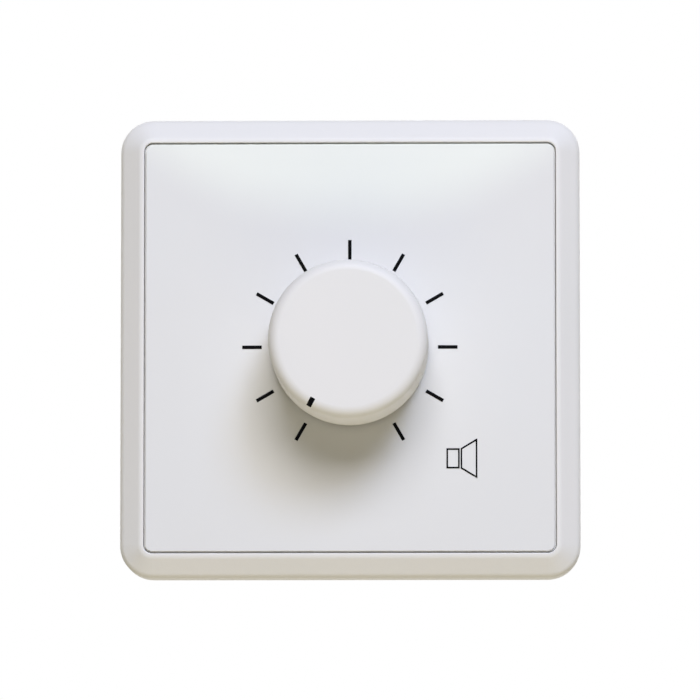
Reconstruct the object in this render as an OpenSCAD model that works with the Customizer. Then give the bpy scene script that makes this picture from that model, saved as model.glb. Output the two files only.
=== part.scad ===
// Flush-mounted volume control for a loudspeaker line, made for a round wall box.
// Lengths are in millimetres. Every module draws in a face-up frame: x points right and y up on the
// front plate, z points out of the wall at the viewer, and the wall is at z = 0. stand() turns that
// frame upright, so that the front looks along -Y and up is +Z.

/* [Cover frame] */
// Outside width and height of the square cover frame
frame_w = 80; // [77:0.5:84]
// Corner radius of the cover frame's outside
frame_corner_r = 5.7; // [5:0.1:6.5]
// Width of the rim, from the outside to the opening
frame_rim_w = 4.2; // [3.8:0.1:4.6]
// Height of the straight outer wall
frame_edge_h = 6.4; // [6:0.1:8]
// Angle of the sloping face
frame_slope = 32; // [24:1:36]
// Rounding where the outer wall meets the slope
frame_edge_round = 1.5; // [0.6:0.1:2]
// Rounding where the slope rolls over to the inner lip
frame_lip_round = 1.5; // [1:0.1:2]
// Rounding of the inner lip's edge
frame_lip_edge = 0.2; // [0.1:0.05:0.3]
// Thickness of the outer wall and of the sloping face
frame_wall = 1.5; // [1.2:0.1:1.8]
// Thickness of the inner wall, beside the plate
frame_inner_wall = 1.2; // [1:0.1:1.4]
// Width of the ledge that the front plate stands on
ledge_w = 2.6; // [2:0.1:3]
// Thickness of that ledge
ledge_t = 1.5; // [1:0.1:2]

/* [Front plate] */
// Shadow gap between the front plate and the frame
plate_gap = 0.3; // [0.2:0.05:0.4]
// Depth of that gap, down to a step in the plate's side
plate_gap_depth = 0.7; // [0.5:0.1:1]
// Play between the plate below its step and the frame
plate_play = 0.1; // [0.05:0.05:0.15]
// Thickness of the front plate
plate_t = 2; // [1.6:0.1:2.4]
// Rounding of the front plate's edge
plate_round = 0.15; // [0.1:0.05:0.4]
// Thickness of the skirt round the plate's back
plate_skirt_t = 1.5; // [1.2:0.1:1.8]
// Thickness of the printed ink
ink_t = 0.05; // [0.03:0.01:0.1]
// Radius of the middle of the scale marks
scale_r = 17; // [16.6:0.1:20]
// Length of a scale mark
scale_mark_l = 3.4; // [2:0.1:3.6]
// Width of a scale mark
scale_mark_w = 0.6; // [0.3:0.05:0.8]
// Number of switch positions
positions = 11; // [9:2:11]
// Place of the loudspeaker sign to the right of the middle
sign_x = 17.9; // [16:0.1:22]
// Place of the loudspeaker sign below the middle
sign_y = 19.4; // [18:0.1:24]
// Width of the sign's magnet box
sign_box_w = 2.3; // [1.8:0.1:2.8]
// Height of the sign's magnet box
sign_box_h = 3.5; // [2.8:0.1:4]
// Gap between the sign's magnet box and its horn
sign_gap = 0.16; // [0.1:0.02:0.3]
// Length of the sign's horn
sign_horn_l = 2.9; // [2.4:0.1:3.4]
// Height of the sign's horn at its mouth
sign_horn_h = 7; // [6:0.1:7.6]
// Line width of the sign
sign_line = 0.28; // [0.2:0.02:0.36]

/* [Knob] */
// Outside diameter of the knob
knob_d = 27.4; // [26:0.2:28.4]
// Height of the knob
knob_h = 16; // [14:0.2:18]
// Gap between the knob and the front plate
knob_gap = 1; // [0.6:0.1:1.4]
// Rounding of the knob's front edge
knob_round = 1.9; // [1.2:0.1:2.2]
// Thickness of the knob's side
knob_wall = 1.6; // [1.4:0.1:2]
// Thickness of the knob's front
knob_front_t = 2.4; // [2.2:0.1:3]
// Outside diameter of the knob's hub
knob_hub_d = 10.4; // [9.6:0.1:11]
// Number of ribs between hub and side
knob_ribs = 6; // [4:1:8]
// Thickness of a rib
knob_rib_t = 1.2; // [0.8:0.1:1.6]
// Width of the pointer mark
pointer_w = 0.9; // [0.6:0.1:1.4]
// Length of the pointer mark along the radius
pointer_l = 1.6; // [1.4:0.05:2]
// Distance from the pointer mark's outer end to the knob's outside
pointer_inset = 0.25; // [0.2:0.05:0.5]
// Thickness of the hub's spring ring
hub_ring_t = 0.7; // [0.5:0.1:0.9]
// Height of the hub's spring ring
hub_ring_h = 1.4; // [1:0.1:1.8]
// Gap between the shaft's end and the knob's front
shaft_end_gap = 1.2; // [1:0.1:1.6]
// Play of the shaft in the hub
hub_play = 0.03; // [0.01:0.01:0.06]

/* [Support plate] */
// Thickness of the steel support plate
support_t = 1.2; // [1:0.1:1.5]
// Gap between the support plate and the frame's inner wall
support_gap = 0.8; // [0.4:0.1:1.2]
// Corner radius of the support plate
support_corner_r = 4; // [2:0.5:6]
// Spacing of the wall box's screws
box_screw_spacing = 60; // [58:0.5:61]
// Width of the slots for the box screws
box_slot_w = 3.6; // [3.4:0.1:4]
// Length of those slots
box_slot_l = 6; // [5:0.1:6.4]

/* [Spreading claws] */
// Distance of the claws' pins from the middle
claw_pin_x = 25.5; // [25:0.1:26]
// Depth of the claws' pins behind the wall
claw_pin_depth = 2.6; // [2.5:0.1:3]
// Diameter of a claw's pin
claw_pin_d = 2; // [1.8:0.1:2.2]
// Thickness of a pin's heads, and their reach past the pin
claw_pin_head = 0.5; // [0.4:0.1:0.6]
// Play of a claw on its pin
claw_pin_play = 0.05; // [0.03:0.01:0.08]
// Width of a claw
claw_w = 8; // [7:0.1:9]
// Play beside a claw
claw_side_play = 0.3; // [0.2:0.05:0.4]
// Thickness of a claw's arms
claw_t = 1.5; // [1.2:0.1:1.6]
// Outside diameter of a claw's knuckle
claw_knuckle_d = 3.8; // [3.6:0.1:4.2]
// Length of a claw behind its pin
claw_l = 12.4; // [11:0.1:12.8]
// Reach of a claw's teeth past its pin
claw_reach = 3.2; // [2.6:0.1:3.4]
// Number of notches between a claw's teeth
claw_notches = 3; // [2:1:4]
// Depth of a notch
claw_notch = 0.9; // [0.6:0.1:1.2]
// Distance from a claw's screw to its pin
claw_arm = 5; // [4.8:0.1:5.4]
// Travel of a claw's screw
claw_travel = 1.7; // [1.5:0.05:1.75]
// Gap between a claw's screw and its arm
claw_tip_gap = 0.1; // [0.05:0.01:0.15]
// Diameter of a claw's screw
claw_screw_d = 3; // [2.8:0.1:3.2]
// Play of a claw's screw in the support plate
claw_screw_play = 0.05; // [0.03:0.01:0.08]
// Diameter of a claw screw's head
claw_head_d = 5.6; // [5:0.1:6]
// Height of a claw screw's head
claw_head_h = 1.8; // [1.4:0.1:2]
// Width of the slot in a screw head
driver_slot_w = 0.8; // [0.5:0.1:1]
// Depth of the slot in a screw head
driver_slot_depth = 0.8; // [0.5:0.1:1]

/* [Rotary switch] */
// Outside diameter of the switch
switch_d = 26; // [25:0.2:27]
// Thickness of the switch's front flange
switch_flange_t = 2.2; // [1.8:0.1:2.6]
// Depth of the switch's housing
switch_housing_h = 10; // [9.8:0.1:11]
// Thickness of the switch's base
switch_base_t = 2; // [1.8:0.1:2.4]
// Wall of the switch's housing
switch_wall = 1.4; // [1.2:0.1:1.6]
// Diameter of the threaded bushing
bush_d = 10; // [9:0.1:10.4]
// Play round the bushing in the two plates
bush_play = 0.1; // [0.05:0.05:0.2]
// Length of the bushing past its front nut
bush_end = 0.6; // [0.4:0.1:1]
// Diameter of the peg that keeps the switch from turning
peg_d = 2.4; // [2:0.1:2.6]
// Distance of that peg from the switch's edge
peg_inset = 3.2; // [2.6:0.1:3.6]
// Play of that peg in the support plate
peg_play = 0.1; // [0.05:0.05:0.15]
// Size across the flats of the two nuts
nut_af = 14; // [13:0.1:14.6]
// Thickness of the two nuts
nut_t = 2; // [1.6:0.1:2.4]
// Outside diameter of the two washers
washer_d = 15; // [14:0.1:16]
// Thickness of the two washers
washer_t = 0.5; // [0.3:0.1:0.7]
// Diameter of the shaft
shaft_d = 6; // [5.6:0.1:6.4]
// Play of the shaft in the bushing
shaft_play = 0.04; // [0.02:0.01:0.08]
// Share of the shaft's diameter that its flat leaves
shaft_flat_share = 0.75; // [0.7:0.01:0.8]
// Thickness of the shaft's clip
clip_t = 0.6; // [0.5:0.1:0.8]
// Outside diameter of the shaft's clip
clip_d = 9; // [8:0.1:9.6]
// Depth of the shaft's clip groove
clip_groove = 0.6; // [0.4:0.1:0.8]
// Thickness of the shaft's thrust collar, and its reach past the shaft
collar_t = 0.8; // [0.6:0.1:1]
// Diameter of the shaft's rear journal
journal_d = 3; // [2.4:0.1:3.4]
// Length of the shaft's rear journal
journal_l = 1.2; // [1:0.1:1.3]
// Gap between the detent wheel and the housing
wheel_gap = 3.2; // [3:0.1:3.4]
// Thickness of the detent wheel
wheel_t = 3; // [2.8:0.1:3.2]
// Radius of a detent notch
notch_r = 1.3; // [1.1:0.1:1.4]
// Distance of a notch's middle outside the detent wheel
notch_out = 0.5; // [0.4:0.05:0.6]
// Gap between the detent's nose and its notch
nose_gap = 0.1; // [0.05:0.01:0.2]
// Thickness of the detent's leaf spring
leaf_t = 0.4; // [0.3:0.05:0.5]
// Width of the detent's leaf spring
leaf_w = 1.3; // [1:0.1:1.4]
// Width of the posts that hold the leaf spring
leaf_post_w = 1.8; // [1.4:0.1:2.2]
// Width of the stop ring
stop_ring_w = 0.9; // [0.7:0.1:1]
// Thickness of the stop ring and of the wheel's stop lug
stop_t = 1.2; // [1:0.1:1.3]
// Angle that the wheel's stop lug covers
stop_lug_angle = 20; // [16:1:24]
// Angle left free at each stop
stop_play = 0.4; // [0.2:0.1:0.6]
// Gap between the contact rotor and the housing
rotor_gap = 1; // [0.6:0.1:1.4]
// Thickness of the contact rotor
rotor_t = 2.6; // [2.4:0.1:2.8]
// Thickness of the wiper
wiper_t = 0.4; // [0.3:0.1:0.5]
// Width of the wiper
wiper_w = 2.4; // [2:0.1:2.8]
// Diameter of the wiper's noses
wiper_nose_d = 1.8; // [1.4:0.1:2]
// Gap between the wiper's noses and the contacts
wiper_gap = 0.1; // [0.05:0.01:0.15]
// Distance of the fixed contacts' circle from the housing
contact_inset = 3.1; // [3:0.1:3.2]
// Radius of the common contact
common_r = 4.7; // [4.5:0.1:5]
// Width of the common contact
common_w = 1.8; // [1.4:0.1:2]
// Diameter of a fixed contact's head
contact_d = 2.2; // [1.8:0.1:2.6]
// Thickness of a fixed contact's head
contact_t = 0.4; // [0.3:0.1:0.5]
// Diameter of a contact's pin
pin_d = 0.9; // [0.7:0.05:1]

/* [Circuit board] */
// Width of the circuit board
board_w = 40; // [39:0.2:41]
// Height of the circuit board
board_h = 42; // [41.6:0.2:43]
// Thickness of the circuit board
board_t = 1.6; // [1.2:0.1:2]
// Corner radius of the circuit board
board_corner_r = 2; // [1:0.1:3]
// Gap between the switch and the circuit board
board_gap = 1.6; // [1.4:0.1:2]
// Length of the transformer's and the terminals' pins past the circuit board
pin_end = 0.8; // [0.5:0.1:1]
// Play round the pins and tabs in the circuit board
pin_play = 0.05; // [0.03:0.01:0.1]
// Distance of the spacers from the board's edges
spacer_inset = 3.5; // [3.3:0.1:3.7]
// Size across the flats of a spacer
spacer_af = 5.5; // [5:0.1:6]
// Diameter of the board screws
board_screw_d = 3; // [2.6:0.1:3.2]
// Length of the board screws under the head
board_screw_l = 6; // [5:0.1:7]
// Play of the board screws in board and plate
board_screw_play = 0.1; // [0.05:0.05:0.2]
// Diameter of a board screw's head
board_head_d = 5.4; // [4.8:0.1:5.6]
// Height of a board screw's head
board_head_h = 1.8; // [1.4:0.1:2]

/* [Transformer] */
// Width of the core's outer legs and yokes
lam_unit = 5.5; // [5.3:0.1:5.6]
// Thickness of the core's stack
core_stack = 12; // [11:0.2:12.4]
// Height of the transformer's middle on the board
core_y = 8; // [7.8:0.1:8.4]
// Gap between the core and the board
core_gap = 0.3; // [0.2:0.05:0.5]
// Play of the bobbin on the core
bobbin_play = 0.1; // [0.05:0.05:0.15]
// Thickness of the bobbin's tube and flanges
bobbin_t = 0.9; // [0.8:0.05:1]
// Corner radius of the bobbin's flanges
bobbin_corner_r = 1; // [0.6:0.1:1.4]
// Reach of the bobbin past the stack
bobbin_reach = 5.5; // [5.2:0.1:5.8]
// Gap from the tape to the edge of the bobbin's flange
tape_inset = 0.6; // [0.4:0.1:0.8]
// Thickness of the insulating tape
tape_t = 0.3; // [0.2:0.05:0.4]
// Number of pins on each side of the transformer
coil_pins = 6; // [5:1:6]
// Spacing of those pins
coil_pin_pitch = 3.6; // [3.4:0.1:3.8]
// Diameter of those pins
coil_pin_d = 0.8; // [0.6:0.05:0.9]
// Depth of those pins in the bobbin
coil_pin_depth = 3; // [2:0.1:4]
// Distance of those pins from the bobbin's edge
coil_pin_inset = 1.5; // [1.2:0.1:1.8]
// Thickness of the core's clamp
clamp_t = 0.8; // [0.6:0.1:1]
// Outside radius of the bends in the core's clamp
clamp_bend = 1.2; // [0.8:0.1:1.6]
// Width of the core's clamp
clamp_w = 10; // [8:0.1:10.6]
// Width of the clamp's tabs
clamp_tab_w = 3; // [2:0.1:4]

/* [Terminals] */
// Spacing of the terminals
terminal_pitch = 5.08; // [5:0.01:5.2]
// Distance of the terminal block from the board's lower edge
terminal_inset = 0.5; // [0.3:0.1:0.8]
// Depth of the terminal block along the board
terminal_block_d = 8; // [7.8:0.1:8.4]
// Height of the terminal block over the board
terminal_block_h = 10.5; // [10.5:0.1:11]
// Width and depth of the grooves between the terminals
terminal_groove = 0.6; // [0.4:0.1:0.7]
// Width of a terminal's brass cage
cage_w = 3.8; // [3.6:0.1:4]
// Depth of a terminal's brass cage
cage_d = 5; // [4.6:0.1:5.2]
// Distance of the cages from the block's upper side
cage_inset = 0.6; // [0.5:0.1:0.7]
// Height of a terminal's brass cage
cage_h = 6; // [5.8:0.1:6.2]
// Wall of a terminal's brass cage
cage_wall = 0.6; // [0.5:0.05:0.7]
// Thickness of the cage's threaded wall
cage_thread = 1.2; // [1:0.1:1.4]
// Height of the cage over the board
cage_foot = 0.8; // [0.7:0.1:1]
// Play of a cage in the block
cage_play = 0.05; // [0.03:0.01:0.08]
// Diameter of a terminal's screw
terminal_screw_d = 2.5; // [2.2:0.1:2.6]
// Diameter of a terminal screw's head
terminal_head_d = 3.7; // [3.4:0.1:3.8]
// Height of a terminal screw's head
terminal_head_h = 1.4; // [1.2:0.1:1.4]
// Play of a terminal's screw in its cage and well
terminal_screw_play = 0.08; // [0.05:0.01:0.1]
// Travel of a terminal's screw
terminal_travel = 2; // [1.6:0.1:2]

/* [Hidden] */
$fn = 96;
cut = 1;
terminals = 4;
step_angle = 30;
detents = 360 / step_angle;
edge_gap = 0.2;
// Angle of the scale's middle, straight up
scale_middle = 90;

white_plastic = [0.93, 0.93, 0.92];
black_ink = [0.08, 0.08, 0.09];
black_plastic = [0.12, 0.12, 0.13];
cream_plastic = [0.86, 0.82, 0.70];
grey_plastic = [0.55, 0.58, 0.60];
board_green = [0.10, 0.36, 0.20];
tape_yellow = [0.93, 0.78, 0.25];
copper = [0.72, 0.42, 0.24];
brass = [0.80, 0.66, 0.34];
zinc = [0.72, 0.74, 0.76];
spring_steel = [0.56, 0.57, 0.58];
core_steel = [0.40, 0.41, 0.43];

// Cover frame: the outer rounding stands on its tangent length, and the roll at the lip touches the slope.
frame_half = frame_w / 2;
opening_half = frame_half - frame_rim_w;
opening_corner_r = frame_corner_r - frame_rim_w;
edge_tangent = frame_edge_round / tan((90 + frame_slope) / 2);
slope_top_z = frame_edge_h + frame_rim_w * tan(frame_slope);
lip_x = opening_corner_r + frame_lip_edge;
lip_z = slope_top_z - frame_lip_edge * tan(frame_slope) - frame_lip_round * (1 / cos(frame_slope) - 1);
face_drop = frame_wall / cos(frame_slope);
ledge_z = support_t;
ledge_top = ledge_z + ledge_t;
ledge_half = opening_half - ledge_w;
ledge_root = frame_inner_wall / 2;

// Front plate and knob
plate_half = opening_half - plate_gap;
plate_corner_r = opening_corner_r - plate_gap;
plate_z = lip_z;
plate_back = plate_z - plate_t;
plate_step_z = plate_z - plate_gap_depth;
plate_step_half = opening_half - plate_play;
plate_step_r = opening_corner_r - plate_play;
start_angle = scale_middle + step_angle * (positions - 1) / 2;
knob_r = knob_d / 2;
knob_back = plate_z + knob_gap;
knob_front = knob_back + knob_h;
knob_roof = knob_front - knob_front_t;
pointer_end = knob_r - pointer_inset;
// The pointer's floor meets the rounding at the pointer's outer end.
pointer_cos = (knob_round - pointer_inset) / knob_round;
pointer_floor = knob_front - knob_round + knob_round * sqrt(1 - pointer_cos * pointer_cos);

// Support plate and claws
support_half = opening_half - support_gap;
claw_screw_x = claw_pin_x - claw_arm;
claw_tip_z = claw_tip_gap - claw_pin_depth;
claw_head_z = support_t + claw_travel + edge_gap;
claw_gap_half = claw_w / 2 + claw_side_play;
lug_r = claw_pin_d / 2 + support_t;
pin_half = claw_gap_half + support_t;
pin_head_r = claw_pin_d / 2 + claw_pin_head;

// Rotary switch, from the front to the back
bush_r = bush_d / 2;
bush_hole_r = bush_r + bush_play;
plate_nut_z = plate_z + washer_t;
switch_nut_z = support_t + washer_t;
bush_front = plate_nut_z + nut_t + bush_end;
clip_z = bush_front + edge_gap;
hub_z = clip_z + clip_t + edge_gap;
hub_ring_z = hub_z + edge_gap;
rib_z = hub_ring_z + hub_ring_h + edge_gap;
shaft_r = shaft_d / 2;
// The ribs start inside the hub's wall and end inside the knob's side.
rib_root = (knob_hub_d / 2 + shaft_r) / 2;
rib_end = knob_r - knob_wall / 2;
shaft_front = knob_roof - shaft_end_gap;
shaft_flat = shaft_d * shaft_flat_share - shaft_r;
clip_r = shaft_r - clip_groove;
switch_r = switch_d / 2;
switch_in_r = switch_r - switch_wall;
peg_y = switch_r - peg_inset;
housing_z = -switch_flange_t;
base_z = housing_z - switch_housing_h;
switch_back = base_z - switch_base_t;
collar_r = shaft_r + collar_t;
collar_z = housing_z - edge_gap;
wheel_z = collar_z - collar_t;
wheel_back = wheel_z - wheel_t;
wheel_r = switch_in_r - wheel_gap;
notch_y = wheel_r + notch_out;
nose_r = notch_r - nose_gap;
leaf_y = wheel_r + edge_gap;
leaf_back = leaf_y + leaf_t;
leaf_half = sqrt(switch_in_r * switch_in_r - leaf_back * leaf_back) - edge_gap / 2;
leaf_z = wheel_back + leaf_w;
stop_z = wheel_z;
stop_in_r = switch_in_r - stop_ring_w;
stop_lug_r = stop_in_r - edge_gap;
stop_block_r = wheel_r + edge_gap;
stop_block_angle = 360 - step_angle * (positions - 1) - stop_lug_angle - 2 * stop_play;
rotor_z = wheel_back;
rotor_back = rotor_z - rotor_t;
rotor_r = switch_in_r - rotor_gap;
contact_r = switch_in_r - contact_inset;
wiper_back = rotor_back - wiper_t;
contact_z = base_z + contact_t;
journal_r = journal_d / 2;
pin_r = pin_d / 2;

// Circuit board
board_z = switch_back - board_gap;
board_back = board_z - board_t;
pin_front = board_z + pin_end;
spacer_x = board_w / 2 - spacer_inset;
spacer_y = board_h / 2 - spacer_inset;
board_screw_r = board_screw_d / 2;

// Transformer: the core has the usual scrapless proportions of six units by five.
core_units_w = 6;
core_units_h = 5;
core_front = board_back - core_gap;
core_half = core_units_w * lam_unit / 2;
core_h = core_units_h * lam_unit;
core_back = core_front - core_h;
leg_half = lam_unit;
window_front = core_front - lam_unit;
window_back = core_back + lam_unit;
tube_in_x = leg_half + bobbin_play;
tube_in_y = core_stack / 2 + bobbin_play;
tube_x = tube_in_x + bobbin_t;
tube_y = tube_in_y + bobbin_t;
flange_x = 2 * lam_unit - bobbin_play;
flange_y = core_stack / 2 + bobbin_reach;
coil_front = window_front - bobbin_play - bobbin_t;
coil_back = window_back + bobbin_play + bobbin_t;
tape_x = flange_x - tape_inset;
tape_y = flange_y - tape_inset;
coil_x = tape_x - tape_t;
coil_y = tape_y - tape_t;
coil_pin_y = flange_y - coil_pin_inset;
coil_pin_r = coil_pin_d / 2;

// Terminals
terminal_half = terminals * terminal_pitch / 2;
terminal_low = terminal_inset - board_h / 2;
terminal_high = terminal_low + terminal_block_d;
terminal_back = board_back - terminal_block_h;
cage_high = terminal_high - cage_inset;
cage_low = cage_high - cage_d;
cage_y = (cage_high + cage_low) / 2;
cage_front = board_back - cage_foot;
cage_back = cage_front - cage_h;
cage_in_front = cage_front - cage_wall;
cage_in_back = cage_back + cage_thread;
terminal_screw_r = terminal_screw_d / 2;
terminal_head_z = cage_back - terminal_travel - edge_gap;
terminal_tip = cage_in_back - edge_gap;

// Turns the face-up frame upright.
module stand() {
    rotate([90, 0, 0]) children();
}

// A square with round corners, by half its width and half its height.
module round_square(half_x, half_y, r) {
    square([2 * half_x, 2 * (half_y - r)], center = true);
    square([2 * (half_x - r), 2 * half_y], center = true);
    for (x = [r - half_x, half_x - r], y = [r - half_y, half_y - r]) translate([x, y]) circle(r);
}

// A slot along y, by its whole length.
module slot(w, l) {
    square([w, l - w], center = true);
    for (end = [-1, 1]) translate([0, end * (l - w) / 2]) circle(w / 2);
}

// A flat layer from one height up to another.
module layer(low, high) {
    translate([0, 0, low]) linear_extrude(high - low) children();
}

// A box by its half width, its limits in y and its limits in z.
module block(half_x, low_y, high_y, low_z, high_z) {
    layer(low_z, high_z) translate([-half_x, low_y]) square([2 * half_x, high_y - low_y]);
}

// A profile in (distance from a corner's axis, height), swept round a square with round corners.
module sweep_square(half, corner_r) {
    for (side = [0 : 3]) rotate(90 * side) translate([half - corner_r, half - corner_r, 0]) {
        rotate_extrude(angle = 90) children();
        rotate([90, 0, 0]) linear_extrude(2 * (half - corner_r)) children();
    }
}

// What is taken off a corner at the upper right to round it, from the rounding's centre.
module corner_cut(r) {
    difference() {
        square(r + cut);
        circle(r);
    }
}

// A profile in (x, z), made as wide along y as stated and centred there.
module across(w) {
    rotate([90, 0, 0]) linear_extrude(w, center = true) children();
}

// A wedge of a disc round the stated angle.
module wedge(angle, width, r) {
    long = 2 * r;
    intersection() {
        circle(r);
        polygon([
            [0, 0],
            [long * cos(angle - width / 2), long * sin(angle - width / 2)],
            [long * cos(angle + width / 2), long * sin(angle + width / 2)]
        ]);
    }
}

// A hexagon by its size across the flats.
module hexagon(af) {
    circle(af / 2 / cos(30), $fn = 6);
}

// The shaft's outline, round with one flat.
module shaft_outline(play) {
    difference() {
        circle(shaft_r + play);
        translate([-shaft_d, shaft_flat + play]) square(2 * shaft_d);
    }
}

// Places for the switch's pins, for the transformer's pins and for the terminals
module at_contacts() {
    for (i = [0 : positions - 1]) rotate(start_angle - i * step_angle) translate([contact_r, 0]) children();
}

module at_coil_pins() {
    row = coil_pin_pitch * (coil_pins - 1) / 2;
    for (side = [-1, 1], i = [0 : coil_pins - 1])
        translate([i * coil_pin_pitch - row, core_y + side * coil_pin_y]) children();
}

module at_terminal(i) {
    translate([(i + 0.5) * terminal_pitch - terminal_half, cage_y]) children();
}

module at_spacers() {
    for (x = [-spacer_x, spacer_x], y = [-spacer_y, spacer_y]) translate([x, y]) children();
}

// A screw with a slotted pan head: its head's seat is at z = 0 and its shank runs down.
module slotted_screw(shank_r, shank_l, head_r, head_h) {
    layer(-shank_l, 0) circle(shank_r);
    difference() {
        layer(0, head_h) circle(head_r);
        layer(head_h - driver_slot_depth, head_h + cut)
            square([driver_slot_w, 2 * head_r + cut], center = true);
    }
}

// Front of the control
module frame_profile() {
    out = frame_corner_r;
    difference() {
        union() {
            polygon([
                [out, 0],
                [out, frame_edge_h - edge_tangent],
                [out - edge_tangent * cos(frame_slope), frame_edge_h + edge_tangent * sin(frame_slope)],
                [
                    lip_x + frame_lip_round * sin(frame_slope),
                    lip_z - frame_lip_round * (1 - cos(frame_slope))
                ],
                [lip_x, lip_z],
                [opening_corner_r, lip_z - frame_lip_edge],
                [opening_corner_r, 0]
            ]);
            translate([out - frame_edge_round, frame_edge_h - edge_tangent]) circle(frame_edge_round);
            translate([lip_x, lip_z - frame_lip_edge]) circle(frame_lip_edge);
            translate([lip_x, lip_z - frame_lip_round]) intersection() {
                circle(frame_lip_round);
                square(frame_lip_round);
            }
        }
        polygon([
            [out - frame_wall, -cut],
            [out - frame_wall, frame_edge_h + frame_wall * tan(frame_slope) - face_drop],
            [
                opening_corner_r + frame_inner_wall,
                slope_top_z - frame_inner_wall * tan(frame_slope) - face_drop
            ],
            [opening_corner_r + frame_inner_wall, -cut]
        ]);
    }
}

module cover_frame() stand() color(white_plastic) {
    sweep_square(frame_half, frame_corner_r) frame_profile();
    layer(ledge_z, ledge_top) difference() {
        round_square(opening_half + ledge_root, opening_half + ledge_root, opening_corner_r + ledge_root);
        round_square(ledge_half, ledge_half, opening_corner_r);
    }
}

// What is taken off the front plate's edge to round it
module plate_edge_profile() {
    translate([plate_corner_r - plate_round, plate_z - plate_round]) corner_cut(plate_round);
}

module front_plate() stand() color(white_plastic) difference() {
    hollow_half = plate_half - plate_skirt_t;
    union() {
        layer(ledge_top, plate_z) round_square(plate_half, plate_half, plate_corner_r);
        layer(ledge_top, plate_step_z) round_square(plate_step_half, plate_step_half, plate_step_r);
    }
    sweep_square(plate_half, plate_corner_r) plate_edge_profile();
    block(hollow_half, -hollow_half, hollow_half, ledge_top - cut, plate_back);
    layer(plate_back - cut, plate_z + cut) circle(bush_hole_r);
}

module scale_marks() stand() color(black_ink) layer(plate_z, plate_z + ink_t) {
    for (i = [0 : positions - 1]) rotate(start_angle - i * step_angle) translate([scale_r, 0])
        square([scale_mark_l, scale_mark_w], center = true);
}

// Outline of a loudspeaker: its magnet box, and its horn to the right
module sign_outline() {
    box_x = sign_box_w / 2;
    box_y = sign_box_h / 2;
    horn_x = box_x + sign_gap;
    mouth_x = horn_x + sign_horn_l;
    mouth_y = sign_horn_h / 2;
    rise = (mouth_y - box_y) / sign_horn_l;
    // Inside the outline, the slanting sides stand one line width off along their normal.
    drop = sign_line * sqrt(1 + rise * rise);
    in_x = horn_x + sign_line;
    out_x = mouth_x - sign_line;
    in_y = box_y + rise * sign_line - drop;
    out_y = mouth_y - rise * sign_line - drop;
    difference() {
        square([sign_box_w, sign_box_h], center = true);
        square([sign_box_w - 2 * sign_line, sign_box_h - 2 * sign_line], center = true);
    }
    difference() {
        polygon([[horn_x, -box_y], [horn_x, box_y], [mouth_x, mouth_y], [mouth_x, -mouth_y]]);
        polygon([[in_x, -in_y], [in_x, in_y], [out_x, out_y], [out_x, -out_y]]);
    }
}

module speaker_sign() stand() color(black_ink) layer(plate_z, plate_z + ink_t)
    translate([sign_x, -sign_y]) sign_outline();

module knob_outside() {
    rotate_extrude() {
        polygon([
            [0, knob_back],
            [knob_r, knob_back],
            [knob_r, knob_front - knob_round],
            [knob_r - knob_round, knob_front],
            [0, knob_front]
        ]);
        translate([knob_r - knob_round, knob_front - knob_round]) circle(knob_round);
    }
}

module pointer_space() {
    rotate(start_angle) layer(pointer_floor, knob_front + cut)
        translate([pointer_end - pointer_l, -pointer_w / 2]) square([pointer_l, pointer_w]);
}

module knob() stand() color(white_plastic) difference() {
    union() {
        difference() {
            knob_outside();
            layer(knob_back - cut, knob_roof) circle(knob_r - knob_wall);
        }
        layer(hub_z, knob_roof + cut) circle(knob_hub_d / 2);
        layer(rib_z, knob_roof + cut)
            for (i = [0 : knob_ribs - 1]) rotate(start_angle + i * 360 / knob_ribs)
                translate([rib_root, -knob_rib_t / 2]) square([rib_end - rib_root, knob_rib_t]);
    }
    layer(hub_z - cut, shaft_front + edge_gap) rotate(start_angle) shaft_outline(hub_play);
    pointer_space();
}

module pointer_mark() stand() color(black_ink) intersection() {
    knob_outside();
    pointer_space();
}

module hub_ring() stand() color(spring_steel) layer(hub_ring_z, hub_ring_z + hub_ring_h) difference() {
    circle(knob_hub_d / 2 + hub_ring_t);
    circle(knob_hub_d / 2);
    wedge(start_angle, step_angle, knob_hub_d);
}

module nut() {
    difference() {
        hexagon(nut_af);
        circle(bush_r);
    }
}

module washer() {
    difference() {
        circle(washer_d / 2);
        circle(bush_r);
    }
}

module plate_nut() stand() color(zinc) layer(plate_nut_z, plate_nut_z + nut_t) nut();

module plate_washer() stand() color(zinc) layer(plate_z, plate_nut_z) washer();

// Support plate with its lugs, and the claws that spread in the wall box
module lug_profile() {
    difference() {
        union() {
            translate([-lug_r, 0]) square([2 * lug_r, claw_pin_depth + support_t]);
            circle(lug_r);
        }
        circle(claw_pin_d / 2);
    }
}

module support_plate() stand() color(zinc) {
    layer(0, support_t) difference() {
        round_square(support_half, support_half, support_corner_r);
        circle(bush_hole_r);
        translate([0, peg_y]) circle(peg_d / 2 + peg_play);
        for (end = [-1, 1]) translate([0, end * box_screw_spacing / 2]) slot(box_slot_w, box_slot_l);
        at_spacers() circle(board_screw_r + board_screw_play);
        for (end = [-1, 1]) {
            translate([end * claw_screw_x, 0]) circle(claw_screw_d / 2 + claw_screw_play);
            translate([end * claw_pin_x, 0]) square([2 * lug_r, 2 * claw_gap_half], center = true);
        }
    }
    for (end = [-1, 1], side = [-1, 1])
        translate([end * claw_pin_x, side * (claw_gap_half + support_t / 2), -claw_pin_depth])
            across(support_t) lug_profile();
}

module switch_nut() stand() color(zinc) layer(switch_nut_z, switch_nut_z + nut_t) nut();

module lock_washer() stand() color(spring_steel) layer(support_t, switch_nut_z) washer();

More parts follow.
